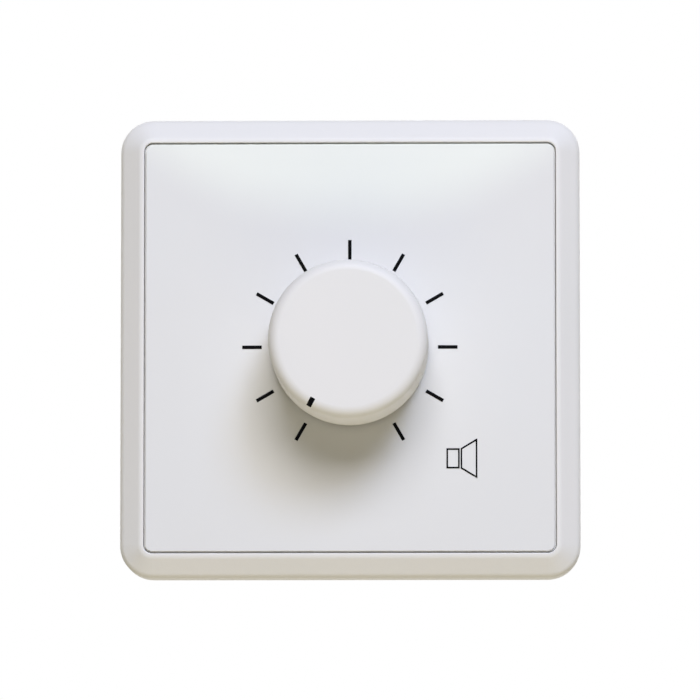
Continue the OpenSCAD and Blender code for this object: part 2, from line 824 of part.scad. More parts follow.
module claw() {
    knuckle_r = claw_knuckle_d / 2;
    difference() {
        across(claw_w) difference() {
            union() {
                circle(knuckle_r);
                translate([-claw_arm - knuckle_r, -claw_t]) square([claw_arm + knuckle_r, claw_t]);
                translate([knuckle_r - claw_t, -claw_l]) square([claw_t, claw_l]);
                translate([knuckle_r - claw_t, -claw_l]) square([claw_reach - knuckle_r + claw_t, claw_t]);
            }
            circle(claw_pin_d / 2 + claw_pin_play);
            // The bend from the finger to its teeth
            translate([knuckle_r, claw_t - claw_l]) rotate(180) corner_cut(claw_t);
        }
        pitch = claw_w / (claw_notches + 1);
        for (i = [1 : claw_notches]) translate([0, i * pitch - claw_w / 2])
            layer(-claw_l - cut, cut - claw_l + claw_t) polygon([
                [claw_reach - claw_notch, 0],
                [claw_reach + cut, -claw_notch - cut],
                [claw_reach + cut, claw_notch + cut]
            ]);
    }
}

module claw_right() stand() color(zinc) translate([claw_pin_x, 0, -claw_pin_depth]) claw();

module claw_left() stand() color(zinc) mirror([1, 0, 0]) translate([claw_pin_x, 0, -claw_pin_depth]) claw();

module claw_screw() {
    tip_r = claw_screw_d / 2;
    translate([0, 0, claw_head_z])
        slotted_screw(tip_r, claw_head_z - claw_tip_z - tip_r, claw_head_d / 2, claw_head_h);
    translate([0, 0, claw_tip_z + tip_r]) sphere(tip_r);
}

module claw_screw_right() stand() color(zinc) translate([claw_screw_x, 0, 0]) claw_screw();

module claw_screw_left() stand() color(zinc) translate([-claw_screw_x, 0, 0]) claw_screw();

module claw_pins() stand() color(zinc) {
    for (end = [-1, 1]) translate([end * claw_pin_x, 0, -claw_pin_depth]) {
        across(2 * pin_half) circle(claw_pin_d / 2);
        for (side = [-1, 1]) translate([0, side * (pin_half + claw_pin_head / 2), 0])
            across(claw_pin_head) circle(pin_head_r);
    }
}

// Rotary switch
module switch_bushing() stand() color(zinc) {
    difference() {
        union() {
            layer(housing_z, 0) circle(switch_r);
            layer(-cut, bush_front) circle(bush_r);
        }
        layer(housing_z - cut, bush_front + cut) circle(shaft_r + shaft_play);
    }
    translate([0, peg_y]) layer(-cut, support_t) circle(peg_d / 2);
}

module switch_housing() stand() color(black_plastic) {
    layer(base_z, housing_z) difference() {
        circle(switch_r);
        circle(switch_in_r);
    }
    layer(wheel_back, leaf_z) intersection() {
        circle((switch_r + switch_in_r) / 2);
        for (end = [-1, 1]) translate([end * (leaf_half - leaf_post_w / 2), leaf_back + switch_r / 2])
            square([leaf_post_w, switch_r], center = true);
    }
}

module stop_ring() stand() color(spring_steel) layer(stop_z - stop_t, stop_z) {
    difference() {
        circle(switch_in_r);
        circle(stop_in_r);
    }
    difference() {
        wedge(scale_middle + 180, stop_block_angle, (switch_in_r + stop_in_r) / 2);
        circle(stop_block_r);
    }
}

module detent_spring() stand() color(spring_steel) layer(wheel_back, leaf_z) {
    translate([-leaf_half, leaf_y]) square([2 * leaf_half, leaf_t]);
    intersection() {
        translate([0, notch_y]) circle(nose_r);
        translate([-nose_r, 0]) square([2 * nose_r, leaf_back]);
    }
}

module switch_base() stand() color(cream_plastic) difference() {
    layer(switch_back, base_z) circle(switch_r);
    layer(switch_back - cut, base_z + cut) {
        at_contacts() circle(pin_r);
        translate([0, common_r]) circle(pin_r);
    }
    layer(base_z - journal_l - edge_gap, base_z + cut) circle(journal_r + shaft_play);
}

// The contacts' pins are cut flush with the back of the board, because the transformer sits over them.
module fixed_contacts() stand() color(brass) at_contacts() {
    layer(base_z, contact_z) circle(contact_d / 2);
    layer(board_back, base_z + contact_t / 2) circle(pin_r);
}

module common_contact() stand() color(brass) {
    layer(base_z, contact_z) difference() {
        circle(common_r + common_w / 2);
        circle(common_r - common_w / 2);
    }
    translate([0, common_r]) layer(board_back, base_z + contact_t / 2) circle(pin_r);
}

module switch_shaft() stand() color(zinc) {
    difference() {
        layer(base_z + edge_gap, shaft_front) circle(shaft_r);
        layer(hub_z, shaft_front + cut) rotate(start_angle)
            translate([-shaft_d, shaft_flat]) square(2 * shaft_d);
        layer(clip_z, clip_z + clip_t) difference() {
            circle(shaft_d);
            circle(clip_r);
        }
    }
    layer(wheel_z, collar_z) circle(collar_r);
    layer(base_z - journal_l, base_z + edge_gap + cut) circle(journal_r);
}

module shaft_clip() stand() color(spring_steel) layer(clip_z, clip_z + clip_t) difference() {
    circle(clip_d / 2);
    circle(clip_r);
    translate([-clip_r, 0]) square([2 * clip_r, clip_d]);
}

module detent_wheel() stand() color(black_plastic) {
    layer(wheel_back, wheel_z) difference() {
        circle(wheel_r);
        circle(shaft_r);
        for (i = [0 : detents - 1]) rotate(i * 360 / detents) translate([0, notch_y]) circle(notch_r);
    }
    layer(stop_z - stop_t, stop_z) difference() {
        wedge(start_angle, stop_lug_angle, stop_lug_r);
        circle((wheel_r + shaft_r) / 2);
    }
}

module contact_rotor() stand() color(cream_plastic) layer(rotor_back, rotor_z) difference() {
    circle(rotor_r);
    circle(shaft_r);
}

module wiper() stand() color(brass) rotate(start_angle) {
    layer(wiper_back, rotor_back) translate([shaft_r, -wiper_w / 2])
        square([contact_r + contact_d / 2 - shaft_r, wiper_w]);
    for (x = [common_r, contact_r]) translate([x, 0])
        layer(contact_z + wiper_gap, wiper_back + wiper_t / 2) circle(wiper_nose_d / 2);
}

// Circuit board with its spacers and screws
module circuit_board() stand() color(board_green) layer(board_back, board_z) difference() {
    round_square(board_w / 2, board_h / 2, board_corner_r);
    at_contacts() circle(pin_r + pin_play);
    translate([0, common_r]) circle(pin_r + pin_play);
    at_coil_pins() circle(coil_pin_r + pin_play);
    for (i = [0 : terminals - 1]) at_terminal(i) circle(pin_r + pin_play);
    at_spacers() circle(board_screw_r + board_screw_play);
    for (end = [-1, 1]) translate([end * (core_half + clamp_t / 2), core_y])
        square([clamp_t + 2 * pin_play, clamp_tab_w + 2 * pin_play], center = true);
}

module board_spacers() stand() color(brass) at_spacers() layer(board_z, 0) difference() {
    hexagon(spacer_af);
    circle(board_screw_r);
}

module board_screws() stand() color(zinc) at_spacers() {
    translate([0, 0, support_t])
        slotted_screw(board_screw_r, board_screw_l, board_head_d / 2, board_head_h);
    translate([0, 0, board_back]) rotate([180, 0, 0])
        slotted_screw(board_screw_r, board_screw_l, board_head_d / 2, board_head_h);
}

// Transformer behind the circuit board
module transformer_core() stand() color(core_steel) translate([0, core_y, 0]) {
    across(core_stack) difference() {
        translate([-core_half, core_back]) square([2 * core_half, core_h]);
        for (x = [-2 * lam_unit, lam_unit]) translate([x, window_back])
            square([lam_unit, window_front - window_back]);
    }
}

module bobbin_flange() {
    round_square(flange_x, flange_y, bobbin_corner_r);
}

module transformer_bobbin() stand() color(cream_plastic) translate([0, core_y, 0]) difference() {
    union() {
        block(tube_x, -tube_y, tube_y, coil_back - bobbin_t, coil_front + bobbin_t);
        layer(coil_front, coil_front + bobbin_t) bobbin_flange();
        layer(coil_back - bobbin_t, coil_back) bobbin_flange();
        layer(coil_front, board_back) difference() {
            bobbin_flange();
            square([2 * flange_x + cut, 2 * tube_in_y], center = true);
        }
    }
    block(tube_in_x, -tube_in_y, tube_in_y, coil_back - bobbin_t - cut, coil_front + bobbin_t + cut);
    translate([0, -core_y, 0]) at_coil_pins()
        layer(board_back - coil_pin_depth, board_back + cut) circle(coil_pin_r);
}

module transformer_winding() stand() color(copper) translate([0, core_y, 0]) {
    layer(coil_back, coil_front) difference() {
        round_square(coil_x, coil_y, bobbin_t);
        square([2 * tube_x, 2 * tube_y], center = true);
    }
}

module winding_tape() stand() color(tape_yellow) translate([0, core_y, 0]) {
    layer(coil_back, coil_front) difference() {
        round_square(tape_x, tape_y, bobbin_t + tape_t);
        round_square(coil_x, coil_y, bobbin_t);
    }
}

module core_clamp() stand() color(zinc) translate([0, core_y, 0]) {
    across(clamp_w) difference() {
        translate([-core_half - clamp_t, core_back - clamp_t])
            square([2 * (core_half + clamp_t), board_back - core_back + clamp_t]);
        translate([-core_half, core_back]) square([2 * core_half, core_h + core_gap + cut]);
        for (end = [0, 1]) mirror([end, 0])
            translate([core_half + clamp_t - clamp_bend, core_back - clamp_t + clamp_bend])
                rotate(-90) corner_cut(clamp_bend);
    }
    for (end = [-1, 1]) translate([end * (core_half + clamp_t / 2), 0]) layer(board_back - cut, pin_front)
        square([clamp_t, clamp_tab_w], center = true);
}

module transformer_pins() stand() color(zinc) at_coil_pins() {
    layer(board_back - coil_pin_depth, pin_front) circle(coil_pin_r);
}

// Terminals under the transformer
module terminal_block() stand() color(grey_plastic) difference() {
    room_x = cage_w / 2 + cage_play;
    room_y = cage_d / 2 + cage_play;
    block(terminal_half + edge_gap, terminal_low, terminal_high, terminal_back, board_back);
    for (i = [0 : terminals - 1]) at_terminal(i) {
        block(room_x, -room_y, room_y, cage_back - cage_play, board_back + cut);
        block(cage_w / 2 - cage_wall, terminal_low - cage_y - cut, 0, cage_in_back, cage_in_front);
        layer(terminal_back - cut, cage_back) circle(terminal_head_d / 2 + terminal_screw_play);
    }
    groove_low = terminal_low + terminal_groove;
    groove_high = terminal_high - terminal_groove;
    groove_back = terminal_back + terminal_groove;
    for (i = [1 : terminals - 1]) translate([i * terminal_pitch - terminal_half, 0]) difference() {
        block(terminal_groove / 2, terminal_low - cut, terminal_high + cut,
            terminal_back - cut, board_back + cut);
        block(terminal_groove, groove_low, groove_high, groove_back, board_back + 2 * cut);
    }
}

module terminal_cages() stand() color(brass) for (i = [0 : terminals - 1]) at_terminal(i) {
    difference() {
        block(cage_w / 2, -cage_d / 2, cage_d / 2, cage_back, cage_front);
        block(cage_w / 2 - cage_wall, -cage_d, cage_d, cage_in_back, cage_in_front);
        layer(cage_back - cut, cage_in_back + cut) circle(terminal_screw_r + terminal_screw_play);
    }
    layer(cage_in_front, pin_front) circle(pin_r);
}

module terminal_screw(i) {
    shank_l = terminal_tip - terminal_head_z;
    at_terminal(i) translate([0, 0, terminal_head_z]) rotate([180, 0, 0])
        slotted_screw(terminal_screw_r, shank_l, terminal_head_d / 2, terminal_head_h);
}

module terminal_screw_1() stand() color(zinc) terminal_screw(0);

module terminal_screw_2() stand() color(zinc) terminal_screw(1);

module terminal_screw_3() stand() color(zinc) terminal_screw(2);

module terminal_screw_4() stand() color(zinc) terminal_screw(3);

cover_frame();
front_plate();
scale_marks();
speaker_sign();
knob();
pointer_mark();
hub_ring();
plate_nut();
plate_washer();
support_plate();
switch_nut();
lock_washer();
claw_left();
claw_right();
claw_screw_left();
claw_screw_right();
claw_pins();
switch_bushing();
switch_housing();
stop_ring();
detent_spring();
switch_base();
fixed_contacts();
common_contact();
switch_shaft();
shaft_clip();
detent_wheel();
contact_rotor();
wiper();
circuit_board();
board_spacers();
board_screws();
transformer_core();
transformer_bobbin();
transformer_winding();
winding_tape();
core_clamp();
transformer_pins();
terminal_block();
terminal_cages();
terminal_screw_1();
terminal_screw_2();
terminal_screw_3();
terminal_screw_4();
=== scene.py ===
"""Finishes, small details and a studio stage for a flush-mounted loudspeaker volume control."""

import math

import bmesh
import bpy
from bpy.props import FloatProperty, FloatVectorProperty, PointerProperty
from mathutils import Matrix, Vector


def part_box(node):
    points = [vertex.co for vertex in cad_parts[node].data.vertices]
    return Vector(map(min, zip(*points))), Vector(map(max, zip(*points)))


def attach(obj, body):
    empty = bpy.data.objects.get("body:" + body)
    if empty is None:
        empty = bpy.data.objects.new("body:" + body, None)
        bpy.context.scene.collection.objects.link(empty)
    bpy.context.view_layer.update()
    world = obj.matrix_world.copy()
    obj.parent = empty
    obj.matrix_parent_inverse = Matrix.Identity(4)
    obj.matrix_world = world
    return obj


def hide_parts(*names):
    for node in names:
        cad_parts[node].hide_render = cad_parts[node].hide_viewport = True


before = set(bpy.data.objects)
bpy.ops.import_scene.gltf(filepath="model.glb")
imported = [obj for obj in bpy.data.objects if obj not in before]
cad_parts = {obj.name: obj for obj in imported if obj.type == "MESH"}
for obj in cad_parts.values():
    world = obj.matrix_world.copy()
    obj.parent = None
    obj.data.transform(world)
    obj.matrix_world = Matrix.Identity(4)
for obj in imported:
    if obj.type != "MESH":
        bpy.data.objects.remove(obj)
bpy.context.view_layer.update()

bl_info = {
    "name": "Loudspeaker volume control",
    "version": (1, 0, 0),
    "blender": (4, 5, 0),
    "location": "3D View > Sidebar > Volume control",
    "description": "Dresses the packed solids of a volume control and sets up its studio stage",
    "category": "Object",
}

MM = 0.001
SLOTS = {name: solid.material_slots[0].material.name for name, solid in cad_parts.items()}

# Points nearer than this are one point.
MERGE = 0.002 * MM
# Faces within the first angle lie in one plane, and an edge past the second is sharp.
FLAT_ANGLE = math.radians(0.5)
SHARP_ANGLE = math.radians(40)
# Axis of the knob, the screws and the board's pins: from the wall to the viewer
OUT = Vector((0, -1, 0))

# Places of the pins on the circuit board, with angles in degrees
CONTACT_COUNT = 11
CONTACT_RADIUS = 8.5 * MM
CONTACT_FIRST_ANGLE = 240
CONTACT_STEP_ANGLE = 30
COIL_PINS_IN_ROW = 6
COIL_PIN_PITCH = 3.6 * MM
COIL_PIN_ROWS = (-2 * MM, 18 * MM)
TERMINAL_COUNT = 4
TERMINAL_PITCH = 5.08 * MM
TERMINAL_ROW = -15.6 * MM

# How finely round forms are divided
EDGE_SEGMENTS = 2
CORNER_SEGMENTS = 6
DOME_STEPS = 6
SHANK_SIDES = 32
THREAD_STEPS = 24
JOINT_SIDES = 16
TAPE_RINGS = 8
FLOOR_SIDES = 96

# Share of a screw shank's radius at which its thread starts, sunk into the shank
THREAD_SINK = 0.97
# Outline of a soldered joint, in shares of its radius and its height
JOINT_OUTLINE = ((1, 0), (0.97, 0.06), (0.74, 0.25), (0.58, 0.6), (0.5, 1), (0, 1.04))
# Cells of a core sheet, and where its windows are, counted in cells from the sheet's middle
CORE_COLUMNS = 6
CORE_ROWS = 5
WINDOW_COLUMN = 1
WINDOW_LAST_ROW = 1
# Core sheets stand back in a cycle of steps, taken with this stride, and fill this share of the stack.
CORE_CYCLE = 5
CORE_STRIDE = 2
CORE_FILL = 0.94

# Scale of the mould's grain on the frame, the plate, the knob and the print
FINE_GRAIN = 2600
# Values of soft clouds at which a drift starts and ends
CLOUD_LOW = 0.35
CLOUD_HIGH = 0.65
# Sockets of a Mix node that mixes colours
MIX_SHARE = 0
MIX_FIRST = 6
MIX_SECOND = 7
MIX_RESULT = 2
WHITE = (1, 1, 1, 1)

# The camera's sensor in millimetres, and the distances in metres that it sees
SENSOR_WIDTH = 36
CLIP_START = 0.01
CLIP_END = 20


# Sizes, colours and stage values that a user would change


def length(label, words, millimetres):
    """A length property, given in millimetres."""
    return FloatProperty(
        name=label, description=words, default=millimetres * MM, unit="LENGTH", precision=5)


def angle(label, words, degrees):
    """An angle property, given in degrees."""
    return FloatProperty(name=label, description=words, default=math.radians(degrees), unit="ROTATION")


def fraction(label, words, value):
    """A property between 0 and 1."""
    return FloatProperty(name=label, description=words, default=value, subtype="FACTOR", min=0, max=1)


def power(label, words, watts):
    """A lamp's power property, given in watts."""
    return FloatProperty(name=label, description=words, default=watts, unit="POWER")


def colour(label, words, value):
    """A colour property, given as scene-linear red, green and blue."""
    return FloatVectorProperty(
        name=label, description=words, default=value, subtype="COLOR", size=3, min=0, max=1)


def position(label, words, value):
    """A place property, given in metres."""
    return FloatVectorProperty(
        name=label, description=words, default=value, subtype="TRANSLATION", unit="LENGTH", precision=5)


def extent(label, words, value):
    """A lamp's width and height, given in metres."""
    return FloatVectorProperty(name=label, description=words, default=value, size=2, unit="LENGTH")


class ControlSizes(bpy.types.PropertyGroup):
    """Sizes of the details that the finishes add to the solids."""

    sheet_break: length("Sheet edge", "Width of the broken edges on pressed steel", 0.12)
    turned_break: length("Turned edge", "Width of the broken edges on screws and spacers", 0.15)
    moulded_round: length("Moulded edge", "Width of the rounded edges on moulded plastic", 0.25)
    core_sheet: length("Core sheet", "Thickness of one sheet of the transformer's core", 0.5)
    core_step: length("Core step", "How far the core's sheets stand back at most", 0.06)
    claw_head: length("Claw screw head", "Height of a claw screw's head", 1.8)
    claw_lap: length("Claw screw lap", "How far a claw screw's shank reaches into its head", 0.5)
    claw_shank: length("Claw screw shank", "Radius of a claw screw's thread", 1.5)
    thread_pitch: length("Thread pitch", "Pitch of the claw screws' thread", 0.5)
    thread_width: length("Thread width", "Width of the claw screws' thread at its foot", 0.42)
    thread_depth: length("Thread depth", "Depth of the claw screws' thread", 0.27)
    track_width: length("Track width", "Width of a track on the circuit board", 1.1)
    track_height: length("Track height", "Height of a track over the board", 0.06)
    outline_width: length("Outline width", "Width of the printed line on the circuit board", 0.25)
    outline_height: length("Outline height", "Height of the printed line over the board", 0.03)
    outline_gap: length("Outline gap", "Distance from the printed line to the terminal block", 0.35)
    joint_radius: length("Joint radius", "Radius of a soldered joint", 0.72)
    joint_height: length("Joint height", "Height of a soldered joint", 0.6)
    tape_bulge: length("Tape bulge", "How far the wound tape swells between the flanges", 0.25)
    tape_corner: length("Tape corner", "Radius of the wound tape's corners", 1.2)
    tape_thickness: length("Tape thickness", "Thickness of all the layers of tape", 0.3)
    tape_end: length("Tape end", "Length of the tape's last, overlapping end", 9)
    tape_layer: length("Tape layer", "Thickness of one layer of tape", 0.09)
    # The next four sizes place the painted highlight, a paler strip that stands in for light reflected at
    # the plate's top.
    plate_fade_start: length("Fade start", "Height over the middle where the plate grows paler", 17.6)
    plate_fade: length("Fade", "Height over which the plate grows paler", 13)
    plate_fade_bow: length("Fade bow", "How much higher that starts at the plate's sides", 12.4)
    plate_fade_clouds: length("Fade clouds", "How far soft clouds shift that height", 1.3)


class ControlColours(bpy.types.PropertyGroup):
    """Colours of the finishes."""

    white: colour("White plastic", "Frame and knob", (0.81, 0.79, 0.75))
    plate: colour("Plate", "Front plate, a cooler white than the frame", (0.760, 0.752, 0.725))
    # Painted highlight: the colour that the plate reaches at the middle of its top edge, standing in for
    # reflected light.
    plate_painted_highlight: colour("Plate's top", "Palest tone of the plate, at its top edge", (0.875, 0.893, 0.823))
    ink: colour("Ink", "Scale marks, sign and pointer", (0.0015, 0.0015, 0.002))
    plated: colour("Plated steel", "Support plate, claws and screws", (0.50, 0.51, 0.53))
    spring: colour("Spring steel", "Ring, clip, washer and leaf", (0.36, 0.36, 0.37))
    cast: colour("Cast zinc", "Bushing and shaft of the switch", (0.46, 0.47, 0.48))
    black: colour("Black plastic", "Housing and wheel of the switch", (0.018, 0.018, 0.020))
    cream: colour("Cream plastic", "Base of the switch and bobbin", (0.72, 0.64, 0.46))
    grey: colour("Grey plastic", "Terminal block", (0.27, 0.30, 0.32))
    brass: colour("Brass", "Spacers, contacts and cages", (0.72, 0.53, 0.22))
    board: colour("Board", "Coated face of the circuit board", (0.018, 0.115, 0.045))
    laminate: colour("Laminate", "Cut edge of the circuit board", (0.42, 0.38, 0.20))
    core: colour("Core sheet", "Varnished steel of the core", (0.17, 0.165, 0.16))
    copper: colour("Copper wire", "Winding of the transformer", (0.55, 0.20, 0.08))
    tape: colour("Tape", "Tape round the winding", (0.72, 0.44, 0.045))
    tin: colour("Tin", "Pins and soldered joints", (0.62, 0.62, 0.60))


class ControlStage(bpy.types.PropertyGroup):
    """Camera, lamps and floor."""

    camera_side: angle("Camera side", "How far to the right of the front the camera stands", 1.26)
    camera_rise: angle("Camera rise", "How far above the front the camera stands", -5.3)
    camera_distance: length("Camera distance", "Distance from the camera to its target", 1200)
    camera_target: position("Camera target", "Point in the picture's middle", (-0.16 * MM, 0, 0.30 * MM))
    camera_lens: FloatProperty(
        name="Lens", description="Focal length in millimetres", default=352.8, unit="CAMERA")
    key_place: position("Key lamp", "Place of the soft lamp above the camera", (0.116, -1.321, 0.895))
    key_size: extent("Key size", "Width and height of that lamp", (0.9, 0.8))
    key_power: power("Key power", "Power of that lamp", 20.3)
    key_colour: colour("Key colour", "Colour of that lamp", (0.950, 0.943, 1.0))
    side_place: position("Side lamp", "Place of the cool lamp at the upper right", (0.518, -1.111, 1.028))
    side_size: extent("Side size", "Width and height of that lamp", (0.5, 0.5))
    side_power: power("Side power", "Power of that lamp", 8.47)
    side_colour: colour("Side colour", "Colour of that lamp", (0.466, 0.610, 1.0))
    low_place: position("Low lamp", "Place of the warm lamp below the object", (0, -0.274, -0.752))
    low_size: extent("Low size", "Width and height of that lamp", (1.0, 1.0))
    low_power: power("Low power", "Power of that lamp", 2.27)
    low_colour: colour("Low colour", "Colour of that lamp", (1.0, 0.87, 0.60))
    back_place: position("Back lamps", "Place of the right one of two lamps behind", (0.60, 0.65, 0.35))
    back_size: extent("Back size", "Width and height of those lamps", (0.9, 0.9))
    back_power: power("Back power", "Power of each of those lamps", 3.0)
    back_colour: colour("Back colour", "Colour of those lamps", (1.0, 1.0, 1.0))
    ambient: fraction("Ambient", "Strength of the light from all round", 0.06)
    ambient_colour: colour("Ambient colour", "Colour of the light from all round", (1.0, 0.84, 0.38))
    floor_drop: length("Floor drop", "Distance from the middle of the object down to the floor", 1000)
    floor_radius: length("Floor radius", "Radius of the floor", 4000)
    floor_colour: colour("Floor", "Colour of the floor", (0.87, 0.85, 0.70))
    floor_white: fraction("Floor white", "How far the camera sees the floor lit to white", 0.85)


# Shader nodes


def put(tree, socket, value):
    """Link an output to a socket, or set the socket's own value."""
    if isinstance(value, bpy.types.NodeSocket):
        tree.links.new(value, socket)
    else:
        socket.default_value = value


def add(tree, kind, inputs=None, **settings):
    """Add one shader node with its settings and its inputs."""
    made = tree.nodes.new("ShaderNode" + kind)
    for name, value in settings.items():
        setattr(made, name, value)
    for name, value in (inputs or {}).items():
        put(tree, made.inputs[name], value)
    return made


def rgba(value):
    """A colour property as a shader colour."""
    return (*value, 1.0)


def towards(value, other, share):
    """A colour part of the way to another."""
    return tuple(a + (b - a) * share for a, b in zip(value, other))


def noise(tree, vector, scale, detail=2):
    """Soft clouds between 0 and 1."""
    return add(tree, "TexNoise", {"Vector": vector, "Scale": scale, "Detail": detail}).outputs["Fac"]


def bands(tree, vector, direction, scale, distortion, detail):
    """Soft bands that lie side by side along one axis."""
    inputs = {"Vector": vector, "Scale": scale, "Distortion": distortion, "Detail": detail}
    return add(tree, "TexWave", inputs, bands_direction=direction).outputs["Fac"]


def spread(tree, value, low=0, high=1, out_low=0, out_high=1):
    """A value stretched from one range to another."""
    made = add(tree, "MapRange", {
        "Value": value, "From Min": low, "From Max": high, "To Min": out_low, "To Max": out_high})
    return made.outputs["Result"]


def maths(tree, operation, first, second=0.0):
    """One sum on one or two values."""
    made = add(tree, "Math", operation=operation)
    put(tree, made.inputs[0], first)
    put(tree, made.inputs[1], second)
    return made.outputs["Value"]


def swung(tree, value, pattern, swing):
    """A value that a pattern between 0 and 1 moves up and down."""
    offset = maths(tree, "SUBTRACT", pattern, 0.5)
    return maths(tree, "ADD", value, maths(tree, "MULTIPLY", offset, swing))


def mix_colours(tree, share, first, second):
    """A colour between two others."""
    made = add(tree, "Mix", data_type="RGBA")
    put(tree, made.inputs[MIX_SHARE], share)
    put(tree, made.inputs[MIX_FIRST], first)
    put(tree, made.inputs[MIX_SECOND], second)
    return made.outputs[MIX_RESULT]


def mix_shaders(tree, share, first, second):
    """A shader between two others."""
    made = add(tree, "MixShader")
    for socket, value in zip(made.inputs, (share, first, second)):
        put(tree, socket, value)
    return made.outputs["Shader"]


def stretched(tree, vector, factors):
    """Coordinates multiplied along each axis."""
    made = add(tree, "VectorMath", operation="MULTIPLY")
    put(tree, made.inputs[0], vector)
    put(tree, made.inputs[1], factors)
    return made.outputs["Vector"]


def shader_group(name, inputs, outputs, fill):
    """A shader group by name, which fill makes the first time that it is asked for."""
    if name in bpy.data.node_groups:
        return bpy.data.node_groups[name]
    tree = bpy.data.node_groups.new(name, "ShaderNodeTree")
    for label, kind in inputs:
        tree.interface.new_socket(label, in_out="INPUT", socket_type="NodeSocket" + kind)
    for label, kind in outputs:
        tree.interface.new_socket(label, in_out="OUTPUT", socket_type="NodeSocket" + kind)
    given = tree.nodes.new("NodeGroupInput").outputs
    result = tree.nodes.new("NodeGroupOutput").inputs
    fill(tree, given, result)
    return tree


def tone_drift():
    """A colour that drifts a little towards another in soft clouds."""
    def fill(tree, given, result):
        clouds = noise(tree, given["Vector"], given["Scale"], detail=3)
        share = spread(tree, clouds, CLOUD_LOW, CLOUD_HIGH)
        put(tree, result["Colour"], mix_colours(tree, share, given["Colour"], given["Drift"]))

    inputs = (("Vector", "Vector"), ("Scale", "Float"), ("Colour", "Color"), ("Drift", "Color"))
    return shader_group("Tone drift", inputs, (("Colour", "Color"),), fill)


def moulded_grain():
    """The fine spark-eroded grain of a mould, with duller and shinier patches."""
    patch_scale = 0.03

    def fill(tree, given, result):
        scale = maths(tree, "MULTIPLY", given["Scale"], patch_scale)
        patches = noise(tree, given["Vector"], scale, detail=3)
        put(tree, result["Roughness"], swung(tree, given["Roughness"], patches, given["Swing"]))
        put(tree, result["Height"], noise(tree, given["Vector"], given["Scale"]))

    inputs = (("Vector", "Vector"), ("Scale", "Float"), ("Roughness", "Float"), ("Swing", "Float"))
    return shader_group("Moulded grain", inputs, (("Roughness", "Float"), ("Height", "Float")), fill)


def worked_metal():
    """Clouded plating over fine streaks that run one way."""
    cloud_scale = 0.12
    streak_share = 0.4

    def fill(tree, given, result):
        streaks = noise(tree, stretched(tree, given["Vector"], given["Stretch"]), given["Scale"], detail=3)
        scale = maths(tree, "MULTIPLY", given["Scale"], cloud_scale)
        clouds = noise(tree, given["Vector"], scale, detail=4)
        streak_part = maths(tree, "MULTIPLY", streaks, streak_share)
        both = maths(tree, "ADD", streak_part, maths(tree, "MULTIPLY", clouds, 1 - streak_share))
        share = spread(tree, both, CLOUD_LOW, CLOUD_HIGH)
        put(tree, result["Colour"], mix_colours(tree, share, given["Colour"], given["Drift"]))
        put(tree, result["Roughness"], swung(tree, given["Roughness"], both, given["Swing"]))
        put(tree, result["Height"], streaks)

    inputs = (
        ("Vector", "Vector"), ("Scale", "Float"), ("Stretch", "Vector"), ("Colour", "Color"),
        ("Drift", "Color"), ("Roughness", "Float"), ("Swing", "Float"))
    outputs = (("Colour", "Color"), ("Roughness", "Float"), ("Height", "Float"))
    return shader_group("Worked metal", inputs, outputs, fill)


# Finishes


def blank_finish(name):
    """An empty material with its shader, and the coordinates that its patterns follow."""
    material = bpy.data.materials.new(name)
    material.use_nodes = True
    tree = material.node_tree
    tree.nodes.clear()
    shader = add(tree, "BsdfPrincipled")
    put(tree, add(tree, "OutputMaterial").inputs["Surface"], shader.outputs["BSDF"])
    return material, tree, shader.inputs, add(tree, "TexCoord").outputs["Object"]


def place_group(tree, group, inputs):
    """Place a shader group in a material and return its outputs."""
    return add(tree, "Group", inputs, node_tree=group).outputs


def drifting(tree, place, tone, drift, scale):
    """A tone that drifts towards another in clouds of the given scale."""
    inputs = {"Vector": place, "Scale": scale, "Colour": rgba(tone), "Drift": rgba(drift)}
    return place_group(tree, tone_drift(), inputs)["Colour"]


def give_skin(tree, shader, tone, roughness, height, depth):
    """Connect a finish's colour, its roughness, and a relief that is depth metres tall."""
    relief = add(tree, "Bump", {"Height": height, "Distance": depth, "Strength": 1.0})
    put(tree, shader["Base Color"], tone)
    put(tree, shader["Roughness"], roughness)
    put(tree, shader["Normal"], relief.outputs["Normal"])


def moulded(name, tone, drift, grain, roughness, swing, depth, clouds=45, specular=0.5, painted_light=None):
    """Moulded plastic: a tone that drifts, patches of gloss, and the mould's fine grain."""
    material, tree, shader, place = blank_finish(name)
    skin = place_group(tree, moulded_grain(), {
        "Vector": place, "Scale": grain, "Roughness": roughness, "Swing": swing})
    shade = drifting(tree, place, tone, drift, clouds)
    # Where given, painted_light lays painted light over the drifting tone.
    if painted_light:
        shade = painted_light(tree, place, shade)
    shader["Specular IOR Level"].default_value = specular
    give_skin(tree, shader, shade, skin["Roughness"], skin["Height"], depth)
    return material


def metal(name, tone, drift, scale, stretch, roughness, swing, depth):
    """Bare or plated metal: clouded tone, streaks from its making, and their relief."""
    material, tree, shader, place = blank_finish(name)
    skin = place_group(tree, worked_metal(), {
        "Vector": place, "Scale": scale, "Stretch": stretch, "Colour": rgba(tone),
        "Drift": rgba(drift), "Roughness": roughness, "Swing": swing})
    shader["Metallic"].default_value = 1.0
    give_skin(tree, shader, skin["Colour"], skin["Roughness"], skin["Height"], depth)
    return material


def white_plastic(name, tones):
    """The frame's and the knob's satin white."""
    drift = towards(tones.white, (0.79, 0.78, 0.74), share=0.5)
    return moulded(
        name, tones.white, drift, grain=FINE_GRAIN, roughness=0.54, swing=0.08, depth=0.0045 * MM)


